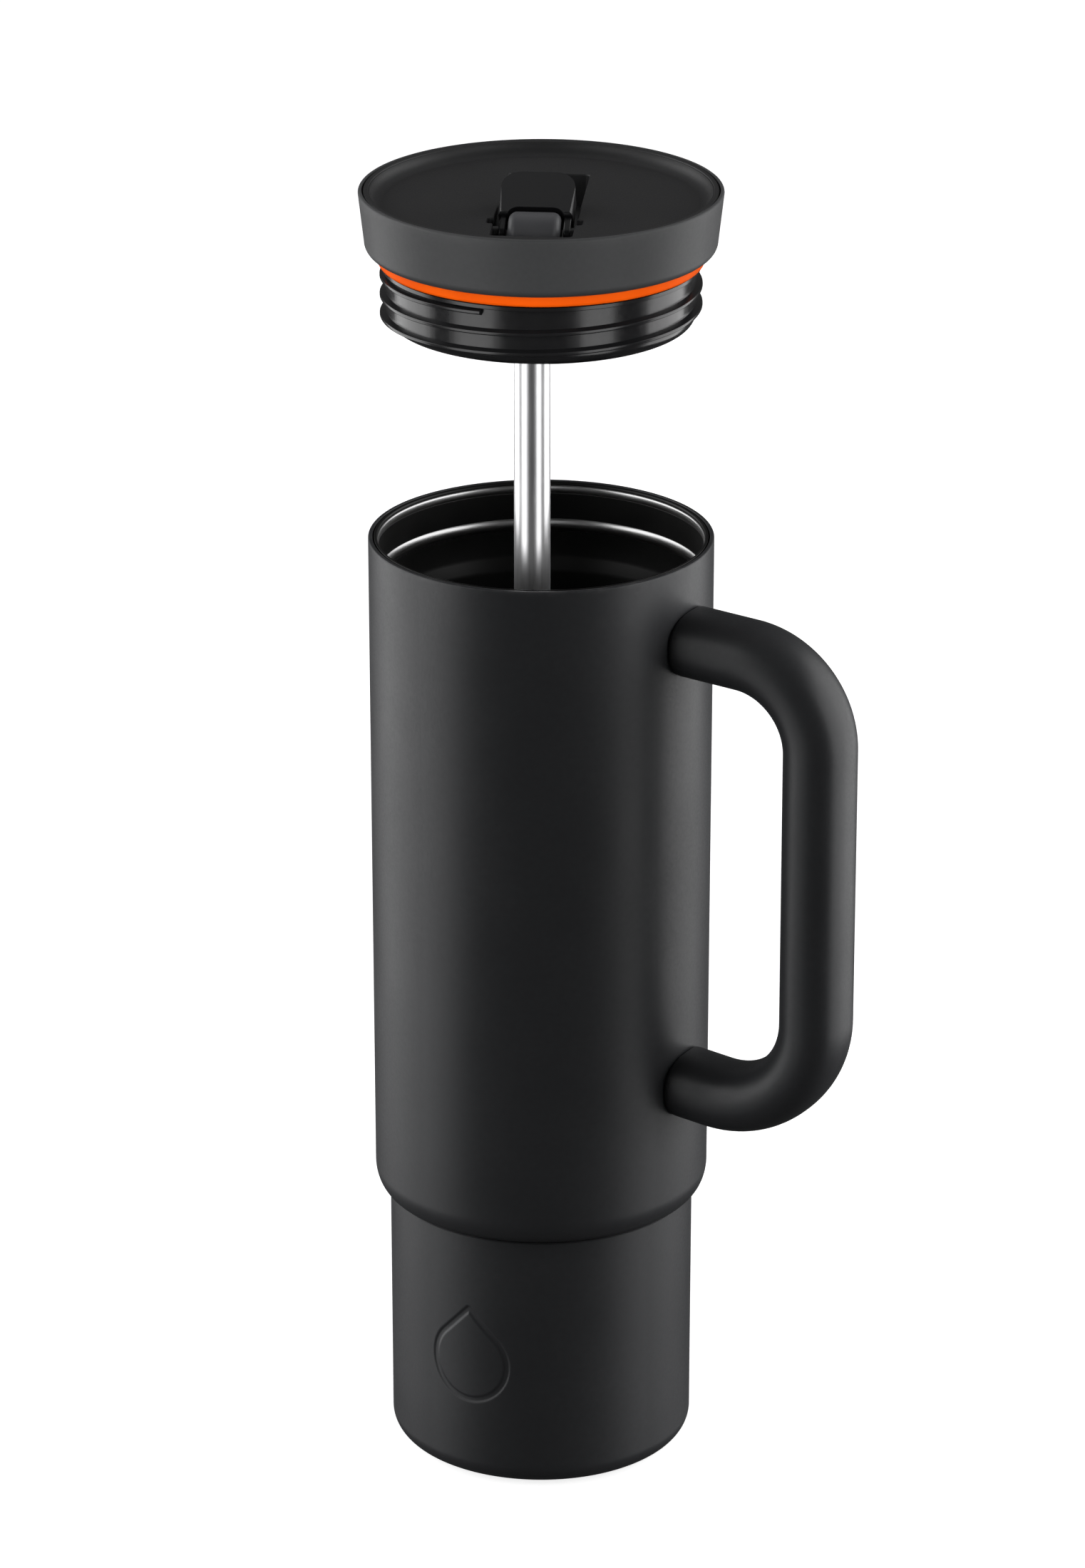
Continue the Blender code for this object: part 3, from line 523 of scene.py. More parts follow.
# liner steel with painted shade inside the mug
liner_steel_painted_shade = shade_painted_steel("liner_steel_painted_shade")
straw_steel = steel(
    "straw_steel", (0.70, 0.70, 0.71), (0.82, 0.82, 0.83), 0.33, 0.02, (1.0, 1.0, 0.04), 1500.0, 0.0015 * MM
)
dull_steel = steel(
    "dull_steel", (0.30, 0.30, 0.31), (0.45, 0.45, 0.46), 0.42, 0.06, (1.0, 1.0, 1.0), 900.0, 0.004 * MM
)


# ---------------------------------------------------------------- mug
def shoulder_outline(inset, count=20):
    """Quarter ellipse between the two wall diameters, from its lower end up."""
    wide = SHOULDER_R - CUP_R
    tall = SHOULDER_Z - SEAM_Z
    points = []
    for i in range(count + 1):
        angle = math.pi / 2 * (1 - i / count)
        normal = Vector((math.cos(angle) * tall, -math.sin(angle) * wide)).normalized()
        r = CUP_R + wide * math.cos(angle) - inset * normal.x
        z = SHOULDER_Z - tall * math.sin(angle) - inset * normal.y
        points.append((r, z))
    return points


def build_mug_wall():
    edge = 0.45 * MM
    inner = RIM_R - LIP_WALL
    outline = shoulder_outline(0.0)
    outline += [(SHOULDER_R + (RIM_R - SHOULDER_R) * i / 12, SHOULDER_Z + (RIM_Z - SHOULDER_Z) * i / 12)
                for i in range(1, 12)]
    outline += arc(RIM_R - edge, RIM_Z - edge, edge, 0, 90, 6)
    outline += arc(inner + 0.2 * MM, RIM_Z - 0.2 * MM, 0.2 * MM, 90, 180, 3)
    outline += [(inner, RIM_Z - 14 * MM), (RIM_R - WALL, RIM_Z - 16 * MM)]
    outline += reversed(shoulder_outline(WALL, 10))
    wall = loose_object("mug_wall", turned(outline))
    place(wall, paint, "mug", ["upper_shell"])


def drop_outline(count=240):
    """Outline of an upright water drop round its middle: points of (sideways, up)."""
    points = []
    shoulder = math.acos(DROP_BODY / (DROP_BODY + DROP_TIP))
    for i in range(count):
        angle = math.tau * i / count
        off = abs(angle - math.pi / 2)
        size = DROP_BODY / math.cos(shoulder - off) if off < shoulder else DROP_BODY
        size -= DROP_LINE / 2
        points.append((size * math.cos(angle), size * math.sin(angle)))
    return np.array(points)


def groove_depth(side, up, outline):
    """How deep the pressed line is at each point of the wall, from its distance to the outline."""
    deep = 0.22 * MM
    half = DROP_LINE / 2
    soft = 0.55 * MM
    distance = np.min(np.hypot(side[:, None] - outline[:, 0], up[:, None] - outline[:, 1]), axis=1)
    share = np.clip((half + soft / 2 - distance) / soft, 0.0, 1.0)
    return deep * share * share * (3 - 2 * share)


def cup_outline_low(count=12):
    """Outer bend of the cup wall, from the split line up."""
    points = []
    for i in range(count + 1):
        angle = BEND_SPLIT * (1 - i / count)
        points.append((CUP_BASE_R - BEND + BEND * math.cos(angle), BEND_LOW + BEND - BEND * math.sin(angle)))
    return points


def build_cup_wall():
    """Cup-holder wall, with a fine grid where the drop is pressed into it."""
    top = SEAM_Z - 0.5 * MM
    inner = CUP_R - CUP_WALL
    reach_side = DROP_BODY + 1.5 * MM
    fine = 0.22 * MM
    span = reach_side / CUP_R
    dense = np.linspace(DROP_ANGLE - span, DROP_ANGLE + span, int(2 * reach_side / fine))
    rest = np.linspace(DROP_ANGLE + span, DROP_ANGLE - span + math.tau, SIDES)[1:-1]
    angles = np.concatenate((dense, rest))
    low_z = DROP_Z - DROP_BODY - 1.5 * MM
    high_z = DROP_Z + DROP_BODY + DROP_TIP + 1.5 * MM
    bend = cup_outline_low()
    heights = list(np.linspace(low_z, high_z, int((high_z - low_z) / fine)))
    edge = 0.25 * MM
    above = [high_z + (top - 2 * edge - high_z) * i / 8 for i in range(1, 9)] + [top - edge]

    def wall_radius(z):
        share = (z - BEND_LOW - BEND) / (top - BEND_LOW - BEND)
        return CUP_BASE_R + (CUP_R - CUP_BASE_R) * share

    outer = bend + [(wall_radius(z), z) for z in heights + above] + [(CUP_R - edge, top)]
    lip = inner - 0.7 * MM
    inside = [(inner, top), (inner, SEAM_Z + 1.2 * MM), (lip, SEAM_Z + 1.2 * MM)]
    inside += [(lip, top - 2 * MM), (inner, top - 3 * MM)]
    inside += [(r - CUP_WALL * math.cos(a), z + CUP_WALL * math.sin(a))
               for (r, z), a in zip(reversed(bend), np.linspace(0, BEND_SPLIT, len(bend)))]
    profile = outer + inside
    outline = drop_outline()
    bm = bmesh.new()
    rings = []
    for number, (r, z) in enumerate(profile):
        radii = np.full(len(angles), r)
        if number < len(outer) and low_z <= z <= high_z:
            side = (angles - DROP_ANGLE) * CUP_R
            radii = radii - groove_depth(side, np.full(len(angles), z - DROP_Z), outline)
        rings.append([bm.verts.new((q * math.cos(a), q * math.sin(a), z)) for q, a in zip(radii, angles)])
    skin(bm, rings, closed=True)
    wall = loose_object("cup_wall", bm)
    place(wall, cup_paint, "mug", ["lower_shell"])


def build_liner():
    bend = 8.0 * MM
    centre = LINER_CUP_BORE - bend
    edge = 0.55 * MM
    lip_outer = RIM_R - LIP_WALL - GAP
    back = 0.2 * MM                       # the outside turns this much lower than the inside
    outer_bore = LINER_BORE + LINER_WALL
    outer_neck = BORE + LINER_WALL
    outline = [(0, LINER_FLOOR), (centre, LINER_FLOOR)]
    outline += arc(centre, LINER_FLOOR + bend, bend, -82, 0, 12)
    outline += [(LINER_CUP_BORE, LINER_CUP_TOP), (LINER_CUP_BORE + 0.3 * MM, LINER_CUP_TOP + LINER_STEP)]
    outline += [(LINER_BORE - 0.3 * MM, LINER_WIDE - LINER_STEP), (LINER_BORE, LINER_WIDE)]
    outline += [(LINER_BORE, NECK_Z - 4 * MM), (LINER_BORE + 0.3 * MM, NECK_Z - 3 * MM)]
    outline += [(BORE - 0.3 * MM, NECK_Z - 0.8 * MM), (BORE, NECK_Z)]
    bead_rise = BORE - BEAD_BORE
    for i in range(17):
        turn = math.pi * i / 16
        rise = bead_rise * math.sin(turn) ** 1.5
        outline.append((BORE - rise, BEAD_Z - BEAD_HALF * math.cos(turn)))
    for i in range(13):
        turn = math.pi * i / 12
        outline.append((BORE - LIP_RISE * math.sin(turn), LIP_Z - LIP_HALF * math.cos(turn)))
    outline += arc(BORE + edge, RIM_Z - edge, edge, 180, 90, 8)
    outline += arc(lip_outer - 0.2 * MM, RIM_Z - 0.2 * MM, 0.2 * MM, 90, 0, 3)
    outline += [(lip_outer, RIM_Z - 2 * MM), (outer_neck, RIM_Z - 3 * MM), (outer_neck, NECK_Z - back)]
    outline += [(outer_bore, NECK_Z - 4 * MM - back), (outer_bore, LINER_WIDE - back)]
    outline += [(LINER_CUP_BORE + LINER_WALL, LINER_CUP_TOP - back)]
    outline += arc(centre, LINER_FLOOR + bend, bend + LINER_WALL, 0, -82, 8)
    outline += [(centre, LINER_FLOOR - LINER_WALL), (0, LINER_FLOOR - LINER_WALL)]
    liner = loose_object("steel_liner", turned(outline))
    place(liner, liner_steel_painted_shade, "mug", ["inner_liner"])


def build_base():
    recess_r = 27.3 * MM
    recess_z = 1.3 * MM
    inside_z = recess_z + 0.9 * MM
    hole = 4.3 * MM
    start = BEND_SPLIT + SPLIT_GAP

    def bend(angle, radius):
        return CUP_BASE_R - BEND + radius * math.cos(angle), BEND_LOW + BEND - radius * math.sin(angle)

    outline = [bend(start + (math.pi / 2 - start) * i / 8, BEND) for i in range(9)]
    outline += [(recess_r, BEND_LOW), (recess_r, recess_z), (hole, recess_z), (hole, inside_z)]
    outline += [(recess_r + CUP_WALL, inside_z)]
    outline += [bend(start + (math.pi / 2 - start) * (1 - i / 6), BEND - CUP_WALL) for i in range(2, 7)]
    cap = loose_object("bottom_cap", turned(outline))
    place(cap, cup_paint, "mug", ["base_cap"])

    pad_r = 27.0 * MM
    pad_top = 1.0 * MM
    groove = 0.25 * MM
    outline = [(0, 0)]
    for i in range(1, 5):
        r = pad_r * (0.2 + 0.18 * i)
        outline += [(r - 0.6 * MM, 0), (r - 0.3 * MM, groove), (r + 0.3 * MM, groove), (r + 0.6 * MM, 0)]
    outline += arc(pad_r - 0.4 * MM, 0.4 * MM, 0.4 * MM, -90, 0, 4)
    outline += [(pad_r, pad_top), (0, pad_top)]
    pad = loose_object("foot_pad", turned(outline, 128))
    place(pad, pad_rubber, "mug", ["base_pad"])


# ---------------------------------------------------------------- handle
def fillet(before, corner, after, radius, count):
    """Points of the arc that rounds off a corner of a path."""
    first = (before - corner).normalized()
    second = (after - corner).normalized()
    half = first.angle(second) / 2
    centre = corner + (first + second).normalized() * radius / math.sin(half)
    start = (corner + first * radius / math.tan(half) - centre).normalized()
    end = (corner + second * radius / math.tan(half) - centre).normalized()
    return [centre + start.slerp(end, i / count) * radius for i in range(count + 1)]


def section(shrink=0.0, count=72):
    """Superellipse of the handle: (across the path, sideways)."""
    power = 2 / HANDLE_SQUARENESS
    points = []
    for i in range(count):
        angle = math.tau * i / count
        c = math.cos(angle)
        s = math.sin(angle)
        across = math.copysign(abs(c) ** power, c) * (HANDLE_HALF_DEPTH - shrink)
        sideways = math.copysign(abs(s) ** power, s) * (HANDLE_HALF_WIDTH - shrink)
        points.append((across, sideways))
    return points


def wall_hit(point, direction, clear):
    """Where a line from outside along direction reaches the mug's wall, which leans out slightly."""
    distance = 0.0
    lean = (RIM_R - SHOULDER_R) / (RIM_Z - SHOULDER_Z)
    for _ in range(12):
        spot = point + direction * distance
        wall = SHOULDER_R + lean * (spot.z - SHOULDER_Z) + clear
        side = min(abs(spot.y), wall * 0.99)
        distance += (math.sqrt(wall * wall - side * side) - spot.x) / direction.x
    return point + direction * distance


def arm_end(bm, base, across, direction):
    """Rings that bring an arm to the wall, with its edge rounded over into a fine crease."""
    rounding = 0.9 * MM
    clear = 0.02 * MM
    rings = []
    for i in range(7):
        angle = math.pi / 2 * i / 6
        shrink = rounding * (1 - math.cos(angle))
        back = rounding * (1 - math.sin(angle))
        ring = []
        for a, s in section(shrink):
            start = base + across * a + Vector((0, s, 0))
            ring.append(bm.verts.new(wall_hit(start, direction, clear) - direction * back))
        rings.append(ring)
    return rings


def build_handle():
    arm = HANDLE_REACH - 33.0 * MM        # from a point inside the mug to the grip's corners
    top_straight = 26 * MM                # the arms' path is drawn this far from the corners
    low_straight = 27 * MM
    top_run = Vector((-arm, 0, HANDLE_TOP - HANDLE_TOP_OUT)).normalized()
    low_run = Vector((-arm, 0, HANDLE_LOW - HANDLE_LOW_OUT)).normalized()
    top = Vector((HANDLE_REACH, 0, HANDLE_TOP_OUT))
    low = Vector((HANDLE_REACH, 0, HANDLE_LOW_OUT))
    first = top + top_run * arm
    last = low + low_run * arm
    path = [top + top_run * top_straight]
    path += fillet(first, top, low, HANDLE_BEND_TOP, 40)
    path += fillet(top, low, last, HANDLE_BEND_LOW, 40)
    path += [low + low_run * low_straight]
    bm = bmesh.new()
    rings = []
    for i, point in enumerate(path):
        ahead = path[min(i + 1, len(path) - 1)]
        behind = path[max(i - 1, 0)]
        along = (ahead - behind).normalized()
        across = Vector((-along.z, 0, along.x))
        rings.append([bm.verts.new(point + across * a + Vector((0, s, 0))) for a, s in section()])
    top_across = Vector((top_run.z, 0, -top_run.x))
    low_across = Vector((-low_run.z, 0, low_run.x))
    head = arm_end(bm, path[0], top_across, top_run)
    tail = arm_end(bm, path[-1], low_across, low_run)
    rings = list(reversed(head)) + rings + tail
    skin(bm, rings)
    bm.faces.new(rings[0])
    bm.faces.new(rings[-1])
    bmesh.ops.rotate(bm, verts=bm.verts, matrix=Matrix.Rotation(HANDLE_ANGLE, 3, "Z"))
    handle = loose_object("grip_handle", bm)
    place(handle, paint, "mug", ["handle"])


# ---------------------------------------------------------------- lid
def build_lid_band():
    low = BAND_LOW + BAND_CORNER
    corner_r = BAND_LOW_R - BAND_CORNER
    edge = 0.6 * MM
    outline = arc(corner_r, low, BAND_CORNER, -90, 0, 14)
    outline += [(BAND_LOW_R + (BAND_R - BAND_LOW_R) * i / 6, low + (BAND_TOP - edge - low) * i / 6)
                for i in range(1, 6)]
    outline += arc(BAND_R - edge, BAND_TOP - edge, edge, 0, 90, 6)
    outline += [(BAND_R - BAND_WALL, BAND_TOP), (BAND_R - BAND_WALL, BAND_STRAIGHT)]
    outline += arc(corner_r, low, BAND_CORNER - BAND_WALL, 0, -90, 10)
    band = loose_object("lid_ring", turned(outline))
    place(band, band_finish, "lid", ["lid_band"], LID)


def build_lid_deck():
    low = BAND_LOW + BAND_CORNER
    corner_r = BAND_LOW_R - BAND_CORNER
    corner = BAND_CORNER - BAND_WALL - GAP
    top_r = BAND_R - BAND_WALL - GAP
    top = BAND_TOP - 0.1 * MM
    edge = 0.4 * MM
    lip = 0.35 * MM
    cavity = PLUG_R + GAP
    outline = [(0, DECK_Z), (DECK_R * 0.97, DECK_Z)]
    outline += arc(DECK_R, DECK_Z + DECK_COVE, DECK_COVE, -90, -10, 12)
    outline += arc(DECK_R + DECK_COVE + 0.5 * MM, top - lip, lip, 170, 90, 5)
    outline += arc(top_r - edge, top - edge, edge, 90, 0, 5)
    outline += [(top_r, BAND_STRAIGHT)]
    outline += arc(corner_r, low, corner, 0, -90, 6)
    outline += [(cavity, low - corner), (cavity, DECK_Z - DECK_THICK), (0, DECK_Z - DECK_THICK)]
    deck = loose_object("lid_top", turned(outline))

    tub_side = 2.6 * MM
    tub_end = 1.5 * MM
    tub = rounded_rectangle(SLOT_HALF + tub_side, SLOT_FRONT - tub_end, SLOT_BACK + tub_end, 2 * MM)
    combine(deck, prism([(tub, TUB_LOW), (tub, DECK_Z - DECK_THICK / 2)]), "UNION")
    slot = flared_cutter(SLOT_HALF, SLOT_FRONT, SLOT_BACK, 1.2 * MM, SLOT_FLOOR, DECK_Z, lip)
    combine(deck, slot, "DIFFERENCE")
    notch = TRUNNION_R + 0.4 * MM
    notches = flared_cutter(
        TRUNNION_END + GAP, PIVOT.y - notch, PIVOT.y + notch, 0.9 * MM, PIVOT.z - notch, DECK_Z, 0.3 * MM
    )
    combine(deck, notches, "DIFFERENCE")
    play = 0.4 * MM
    pocket = cross_rod(DRUM_R + play, DRUM_HALF + play)
    bmesh.ops.translate(pocket, verts=pocket.verts, vec=(0, PIVOT.y, PIVOT.z))
    combine(deck, pocket, "DIFFERENCE")
    hole = rod(FLOW_R, TUB_LOW - MM, SLOT_FLOOR + MM, 40, (0, STRAW_Y + 1.5 * MM))
    combine(deck, hole, "DIFFERENCE")
    combine(deck, rod(VENT_R, TUB_LOW - MM, SLOT_FLOOR + MM, 32, (0, VENT_Y)), "DIFFERENCE")
    place(deck, deck_finish, "lid", ["lid_deck"], LID, sharp=32, even=True)


def build_gasket():
    inner = PLUG_R + GAP
    top = BAND_LOW + BAND_WALL
    bulge = 0.9 * MM
    outline = [(inner, 0)]
    outline += arc(GASKET_R - bulge, bulge, bulge, -90, 0, 8)
    outline += arc(GASKET_R - bulge, top - bulge, bulge, 0, 90, 8)
    outline += [(inner, top)]
    gasket = loose_object("lid_seal_ring", turned(outline))
    place(gasket, orange_rubber, "lid_seal", ["lid_gasket"], LID)


def thread_ridge():
    """Right-handed ridge round the plug: blunt at its upper end and run out at its lower end."""
    per_turn = 160
    count = round(THREAD_TURNS * per_turn)
    run_out = per_turn // 6
    root = PLUG_R - 0.5 * MM
    half_root = 1.0 * MM
    half_crest = 0.30 * MM
    soft = 0.12 * MM
    sunk = 0.1 * MM
    bm = bmesh.new()
    rings = []
    for i in range(count + 1):
        turn = i / per_turn
        angle = THREAD_TOP_ANGLE - math.tau * turn
        z = THREAD_TOP - THREAD_PITCH * turn
        rise = min(1.0, (count - i) / run_out)
        crest = PLUG_R - sunk + (THREAD_R - PLUG_R + sunk) * rise
        shape = ((root, -half_root), (crest - soft, -half_crest - soft / 2), (crest, -half_crest + soft),
                 (crest, half_crest - soft), (crest - soft, half_crest + soft / 2), (root, half_root))
        rings.append([bm.verts.new((r * math.cos(angle), r * math.sin(angle), z + dz)) for r, dz in shape])
    skin(bm, rings)
    bm.faces.new(rings[0])
    bm.faces.new(rings[-1])
    return bm


def build_plug():
    top = 5.0 * MM
    collar_low = -1.2 * MM
    hollow = 0.3 * MM
    edge = 0.15 * MM
    inner = PLUG_R - PLUG_WALL
    floor = PLUG_LOW + 1.7 * MM
    outline = [(0, PLUG_LOW), (PLUG_R - PLUG_EDGE - 2 * MM, PLUG_LOW)]
    outline += arc(PLUG_R - PLUG_EDGE, PLUG_LOW + PLUG_EDGE, PLUG_EDGE, -90, 0, 14)
    outline += arc(PLUG_R + hollow, collar_low - hollow, hollow, 180, 90, 5)
    outline += arc(COLLAR_R - edge, collar_low + edge, edge, -90, 0, 3)
    outline += [(COLLAR_R, -GAP), (PLUG_R, -GAP), (PLUG_R, top), (inner, top), (inner, floor), (0, floor)]
    plug = loose_object("screw_plug", turned(outline))
    combine(plug, thread_ridge(), "UNION")
    low = PLUG_LOW - MM
    high = floor + MM
    combine(plug, rod(SOCKET_R + GAP, low, high, 64, (0, STRAW_Y)), "DIFFERENCE")
    combine(plug, rod(VENT_R, low, high, 32, (0, VENT_Y)), "DIFFERENCE")
    place(plug, plug_finish, "lid", ["thread_plug"], LID, sharp=35, even=True)


def build_straw_socket():
    bore = STRAW_R + GAP
    seat = STRAW_TOP + GAP
    counterbore = 5.2 * MM
    counter_z = PLUG_LOW + 2.6 * MM
    top = TUB_LOW - GAP
    edge = 0.2 * MM
    outline = [(counterbore, PLUG_LOW)]
    outline += arc(SOCKET_R - edge, PLUG_LOW + edge, edge, -90, 0, 3)
    outline += [(SOCKET_R, top), (FLOW_R, top), (FLOW_R, seat), (bore, seat), (bore, counter_z)]
    outline += [(counterbore, counter_z)]
    socket = loose_object("plug_socket", turned(outline, 72, (0, STRAW_Y)))
    place(socket, plug_finish, "lid", ["straw_socket"], LID)

    low = PLUG_LOW + 0.2 * MM
    high = counter_z - GAP
    outer = counterbore - GAP
    soft = 0.25 * MM
    ring = arc(bore + soft, low + soft, soft, 180, 270, 4) + arc(outer - soft, low + soft, soft, -90, 0, 4)
    ring += [(outer, high), (bore, high)]
    grommet = loose_object("socket_grommet", turned(ring, 72, (0, STRAW_Y)))
    place(grommet, orange_rubber, "lid", ["straw_grommet"], LID)


def build_vent_valve():
    stem = VENT_R - 0.35 * MM
    cap = 3.2 * MM
    dome = 0.95 * MM
    low = TUB_LOW - 0.1 * MM
    seat = SLOT_FLOOR + GAP
    outline = [(0, low), (stem, low), (stem, seat), (cap, seat)]
    outline += arc(cap - 1.0 * MM, seat + 0.05 * MM, dome, 0, 80, 8)
    outline += [(0, seat + 1.0 * MM)]
    valve = loose_object("air_valve", turned(outline, 72, (0, VENT_Y)))
    place(valve, valve_rubber, "lid", ["vent_valve"], LID)


# ---------------------------------------------------------------- spout and straw
def spout_outline():
    """Front of the panel from one foot over the top to the other foot, and back under the arch."""
    points = [(-SPOUT_HALF_WIDTH, SPOUT_FOOT)]
    points += arc(-SPOUT_HALF_WIDTH + SPOUT_CORNER, SPOUT_TOP - SPOUT_CORNER, SPOUT_CORNER, 180, 90, 14)
    points += arc(SPOUT_HALF_WIDTH - SPOUT_CORNER, SPOUT_TOP - SPOUT_CORNER, SPOUT_CORNER, 90, 0, 14)
    points += [(SPOUT_HALF_WIDTH, SPOUT_FOOT)]
    centre_z = ARCH_TOP - ARCH_CORNER
    start = math.degrees(math.asin((SPOUT_FOOT - centre_z) / ARCH_CORNER))
    points += arc(ARCH_HALF - ARCH_CORNER, centre_z, ARCH_CORNER, start, 90, 8)
    points += arc(-ARCH_HALF + ARCH_CORNER, centre_z, ARCH_CORNER, 90, 180 - start, 8)
    return points


def leg_shape(low_x, high_x):
    """One leg, round at its lower end, across the spout from low_x to high_x."""
    plan = arc(0, 0, LEG_HALF, 180, 360, 20)
    plan += [(LEG_HALF, SPOUT_FOOT + MM), (-LEG_HALF, SPOUT_FOOT + MM)]
    bm = prism([(plan, low_x), (plan, high_x)])
    turn = Matrix(((0, 0, 1), (1, 0, 0), (0, 1, 0)))
    bmesh.ops.transform(bm, matrix=turn.to_4x4(), verts=bm.verts)
    rims = [e for e in bm.edges if len({round(v.co.x, 7) for v in e.verts}) == 1]
    bmesh.ops.bevel(bm, geom=rims, offset=0.3 * MM, segments=3, profile=0.5, affect="EDGES")
    return bm


def build_spout():
    matrix = LID @ Matrix.Translation(PIVOT) @ Matrix.Rotation(-SPOUT_LEAN, 4, "X")
    bm = bmesh.new()
    points = spout_outline()
    front = [bm.verts.new((x, -SPOUT_HALF_THICK, z)) for x, z in points]
    back = [bm.verts.new((x, SPOUT_HALF_THICK, z)) for x, z in points]
    skin(bm, [front, back])
    bm.faces.new(front)
    bm.faces.new(back)
    rim = [e for e in bm.edges if len({v.co.y for v in e.verts}) == 1]
    bmesh.ops.bevel(bm, geom=rim, offset=0.7 * MM, segments=5, profile=0.5, affect="EDGES")
    spout = loose_object("flip_spout", bm)
    inner = SPOUT_HALF_WIDTH - 0.9 * MM
    for side in (-1, 1):
        ends = sorted((side * (ARCH_HALF + 0.1 * MM), side * (SPOUT_HALF_WIDTH - 0.3 * MM)))
        combine(spout, leg_shape(*ends), "UNION")
        trunnion = cross_rod(TRUNNION_R, (TRUNNION_END - inner) / 2, 48, 0.2 * MM)
        bmesh.ops.translate(trunnion, verts=trunnion.verts, vec=(side * (TRUNNION_END + inner) / 2, 0, 0))
        combine(spout, trunnion, "UNION")
    hole = rounded_rectangle(3.3 * MM, -1.5 * MM, 1.5 * MM, 1.3 * MM)
    combine(spout, prism([(hole, ARCH_TOP - 2 * MM), (hole, SPOUT_TOP + 2 * MM)]), "DIFFERENCE")
    place(spout, spout_finish, "spout", ["spout"], matrix, sharp=35, even=True)

    drum = loose_object("spout_core", cross_rod(DRUM_R, DRUM_HALF, 96, DRUM_EDGE))
    through = 8 * MM
    passage = rounded_rectangle(2.9 * MM, -1.4 * MM, 1.4 * MM, 1.2 * MM)
    combine(drum, prism([(passage, -through), (passage, through)]), "DIFFERENCE")
    place(drum, drum_rubber, "spout", ["spout_drum"], matrix, sharp=35, even=True)


def build_straw():
    edge = 0.18 * MM
    outline = arc(STRAW_BORE + edge, STRAW_LOW + edge, edge, 180, 270, 3)
    outline += arc(STRAW_R - edge, STRAW_LOW + edge, edge, -90, 0, 4)
    outline += [(STRAW_R, STRAW_LOW + (STRAW_TOP - STRAW_LOW) * i / 8) for i in range(1, 8)]
    outline += arc(STRAW_R - edge, STRAW_TOP - edge, edge, 0, 90, 4)
    outline += arc(STRAW_BORE + edge, STRAW_TOP - edge, edge, 90, 180, 3)
    straw = loose_object("drinking_straw", turned(outline, 96, (0, STRAW_Y)))
    place(straw, straw_steel, "straw", ["straw"], LID)


def finish_hidden_nodes():
    """Finishes for the CAD pieces that stay as they are."""
    for node, material in (
        ("vacuum_plug", dull_steel),
        ("getter", dull_steel),
        ("handle_boss_top", dull_steel),
        ("handle_boss_low", dull_steel),
        ("lid_insulation", foam),
    ):
        nodes[node].data.materials.clear()
        nodes[node].data.materials.append(material)


# ---------------------------------------------------------------- studio
def build_stage():
    """Pale floor that curves up far away into a plain wall all round."""
    flat = 4.0
    curve = 1.5
    wall_top = 5.0
    steps = 96
    outline = [(flat, 0)] + arc(flat, curve, curve, -84, 0, 14) + [(flat + curve, wall_top)]
    angles = [math.tau * i / steps for i in range(steps)]
    bm = bmesh.new()
    rings = [[bm.verts.new((r * math.cos(a), r * math.sin(a), z)) for a in angles] for r, z in outline]
    skin(bm, rings)
    bm.faces.new(rings[0])
    stage = loose_object("stage", bm)
    stage.data.shade_smooth()
    finish = Finish("stage_white", 0.8)
    finish.shader.inputs["Emission Color"].default_value = (1.0, 1.0, 1.0, 1.0)
    finish.shader.inputs["Emission Strength"].default_value = 0.80
    finish.set_colour(finish.colour((0.78, 0.78, 0.78), (0.82, 0.82, 0.82), finish.noise(1.5)))
    stage.data.materials.append(finish.material)
    stage.visible_glossy = False
    stage.visible_diffuse = False


def softbox(name, azimuth, distance, height, width, tall, power, receivers):
    """Soft light that faces the mug's middle. Azimuth 0 is the camera's side, positive towards +X."""
    light = bpy.data.lights.new(name, "AREA")
    light.shape = "RECTANGLE"
    light.size = width
    light.size_y = tall
    light.energy = power
    obj = bpy.data.objects.new(name, light)
    angle = math.radians(azimuth)
    obj.location = (distance * math.sin(angle), -distance * math.cos(angle), height)
    middle = Vector((0, 0, 0.16))
    obj.rotation_euler = (middle - obj.location).to_track_quat("-Z", "Y").to_euler()
    bpy.context.scene.collection.objects.link(obj)
    obj.light_linking.receiver_collection = receivers


def light_group(name, pieces):
    """Collection of the objects that a light is flagged to."""
    group = bpy.data.collections.new(name)
    for piece in pieces:
        group.objects.link(bpy.data.objects[piece])
    return group


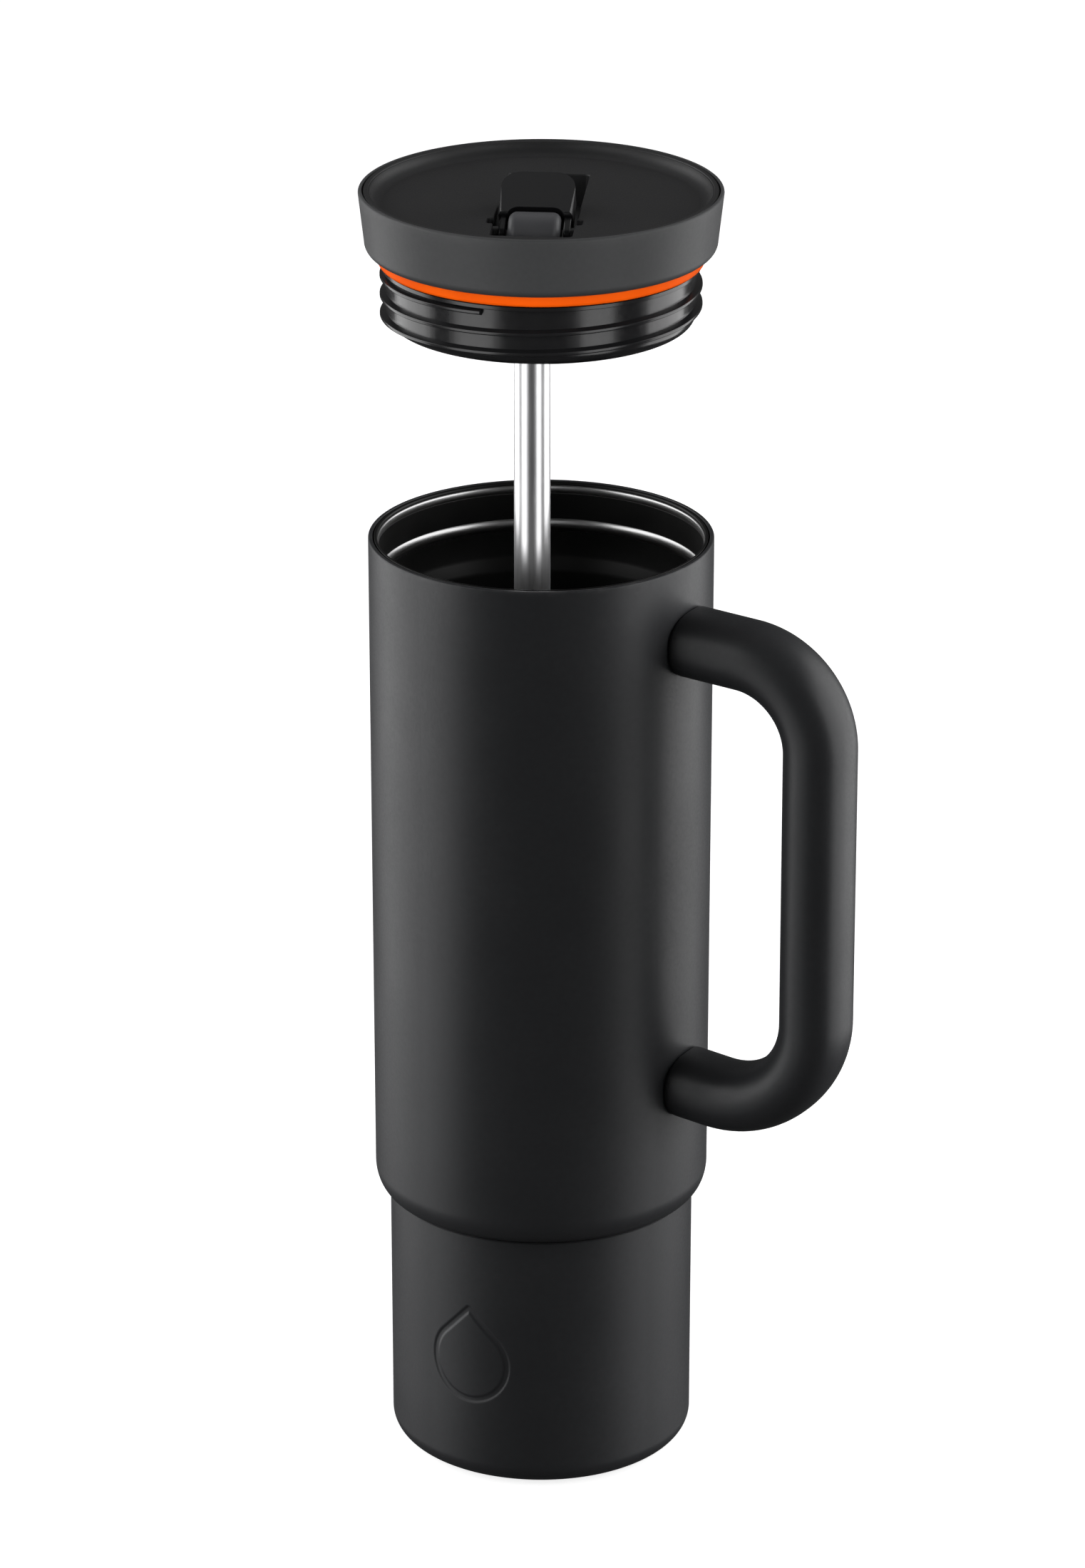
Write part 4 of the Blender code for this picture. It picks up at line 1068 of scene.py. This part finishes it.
def build_light():
    """Wide boxes on both sides of the mug, five of the lid's own, and one each for the seal and the straw."""
    mug = light_group("mug_lit", (
        "mug_wall", "cup_wall", "steel_liner", "bottom_cap", "foot_pad", "grip_handle", "stage",
    ))
    lid = light_group("lid_lit", (
        "lid_ring", "lid_top", "lid_seal_ring", "screw_plug", "plug_socket", "socket_grommet", "air_valve",
        "flip_spout", "spout_core", "drinking_straw",
    ))
    seal = light_group("seal_lit", ("lid_seal_ring",))
    straw = light_group("straw_lit", ("drinking_straw",))
    away = 1.1                            # the same for all boxes at the sides
    up = 0.30
    tall = 1.6
    for name, azimuth, width, power, lit in (
        ("mug_left", -96, 1.9, 22.5, mug),
        ("mug_right", 94, 1.9, 22.5, mug),
        ("lid_left_front", -50, 0.68, 8.0, lid),
        ("lid_left", -112, 0.98, 13.0, lid),
        ("lid_right_front", 42, 0.54, 6.4, lid),
        ("lid_right", 108, 0.98, 13.0, lid),
    ):
        softbox(name, azimuth, away, up, width, tall, power, lit)
    softbox("lid_top_back", 180, 0.55, 1.30, 1.2, 1.2, 1.8, lid)
    softbox("seal_front", 0, 2.0, 0.60, 0.8, 0.8, 17.5, seal)
    softbox("straw_back", 180, 1.3, 0.40, 2.0, 1.2, 13.0, straw)
    world = bpy.data.worlds.new("studio")
    bpy.context.scene.world = world
    world.use_nodes = True
    background = world.node_tree.nodes["Background"]
    background.inputs["Color"].default_value = (1.0, 1.0, 1.0, 1.0)
    background.inputs["Strength"].default_value = 0.06


def build_camera():
    """Camera in front of the mug and above its mouth, looking down at it."""
    aside = 0.0003
    away = 1.3988
    above_mouth = 0.4852
    look_down = 21.29                     # degrees
    camera = bpy.data.cameras.new("camera")
    camera.sensor_width = 36.0
    camera.sensor_fit = "AUTO"
    camera.lens = 152.0
    camera.clip_start = 0.05
    obj = bpy.data.objects.new("camera", camera)
    obj.location = (aside, -away, RIM_Z + above_mouth)
    obj.rotation_euler = (math.radians(90 - look_down), 0, 0)
    bpy.context.scene.collection.objects.link(obj)
    bpy.context.scene.camera = obj
    bpy.context.scene.view_settings.view_transform = "Standard"


build_camera()
build_mug_wall()
build_cup_wall()
build_liner()
build_base()
build_handle()
build_lid_band()
build_lid_deck()
build_gasket()
build_plug()
build_straw_socket()
build_vent_valve()
build_spout()
build_straw()
finish_hidden_nodes()
build_stage()
build_light()
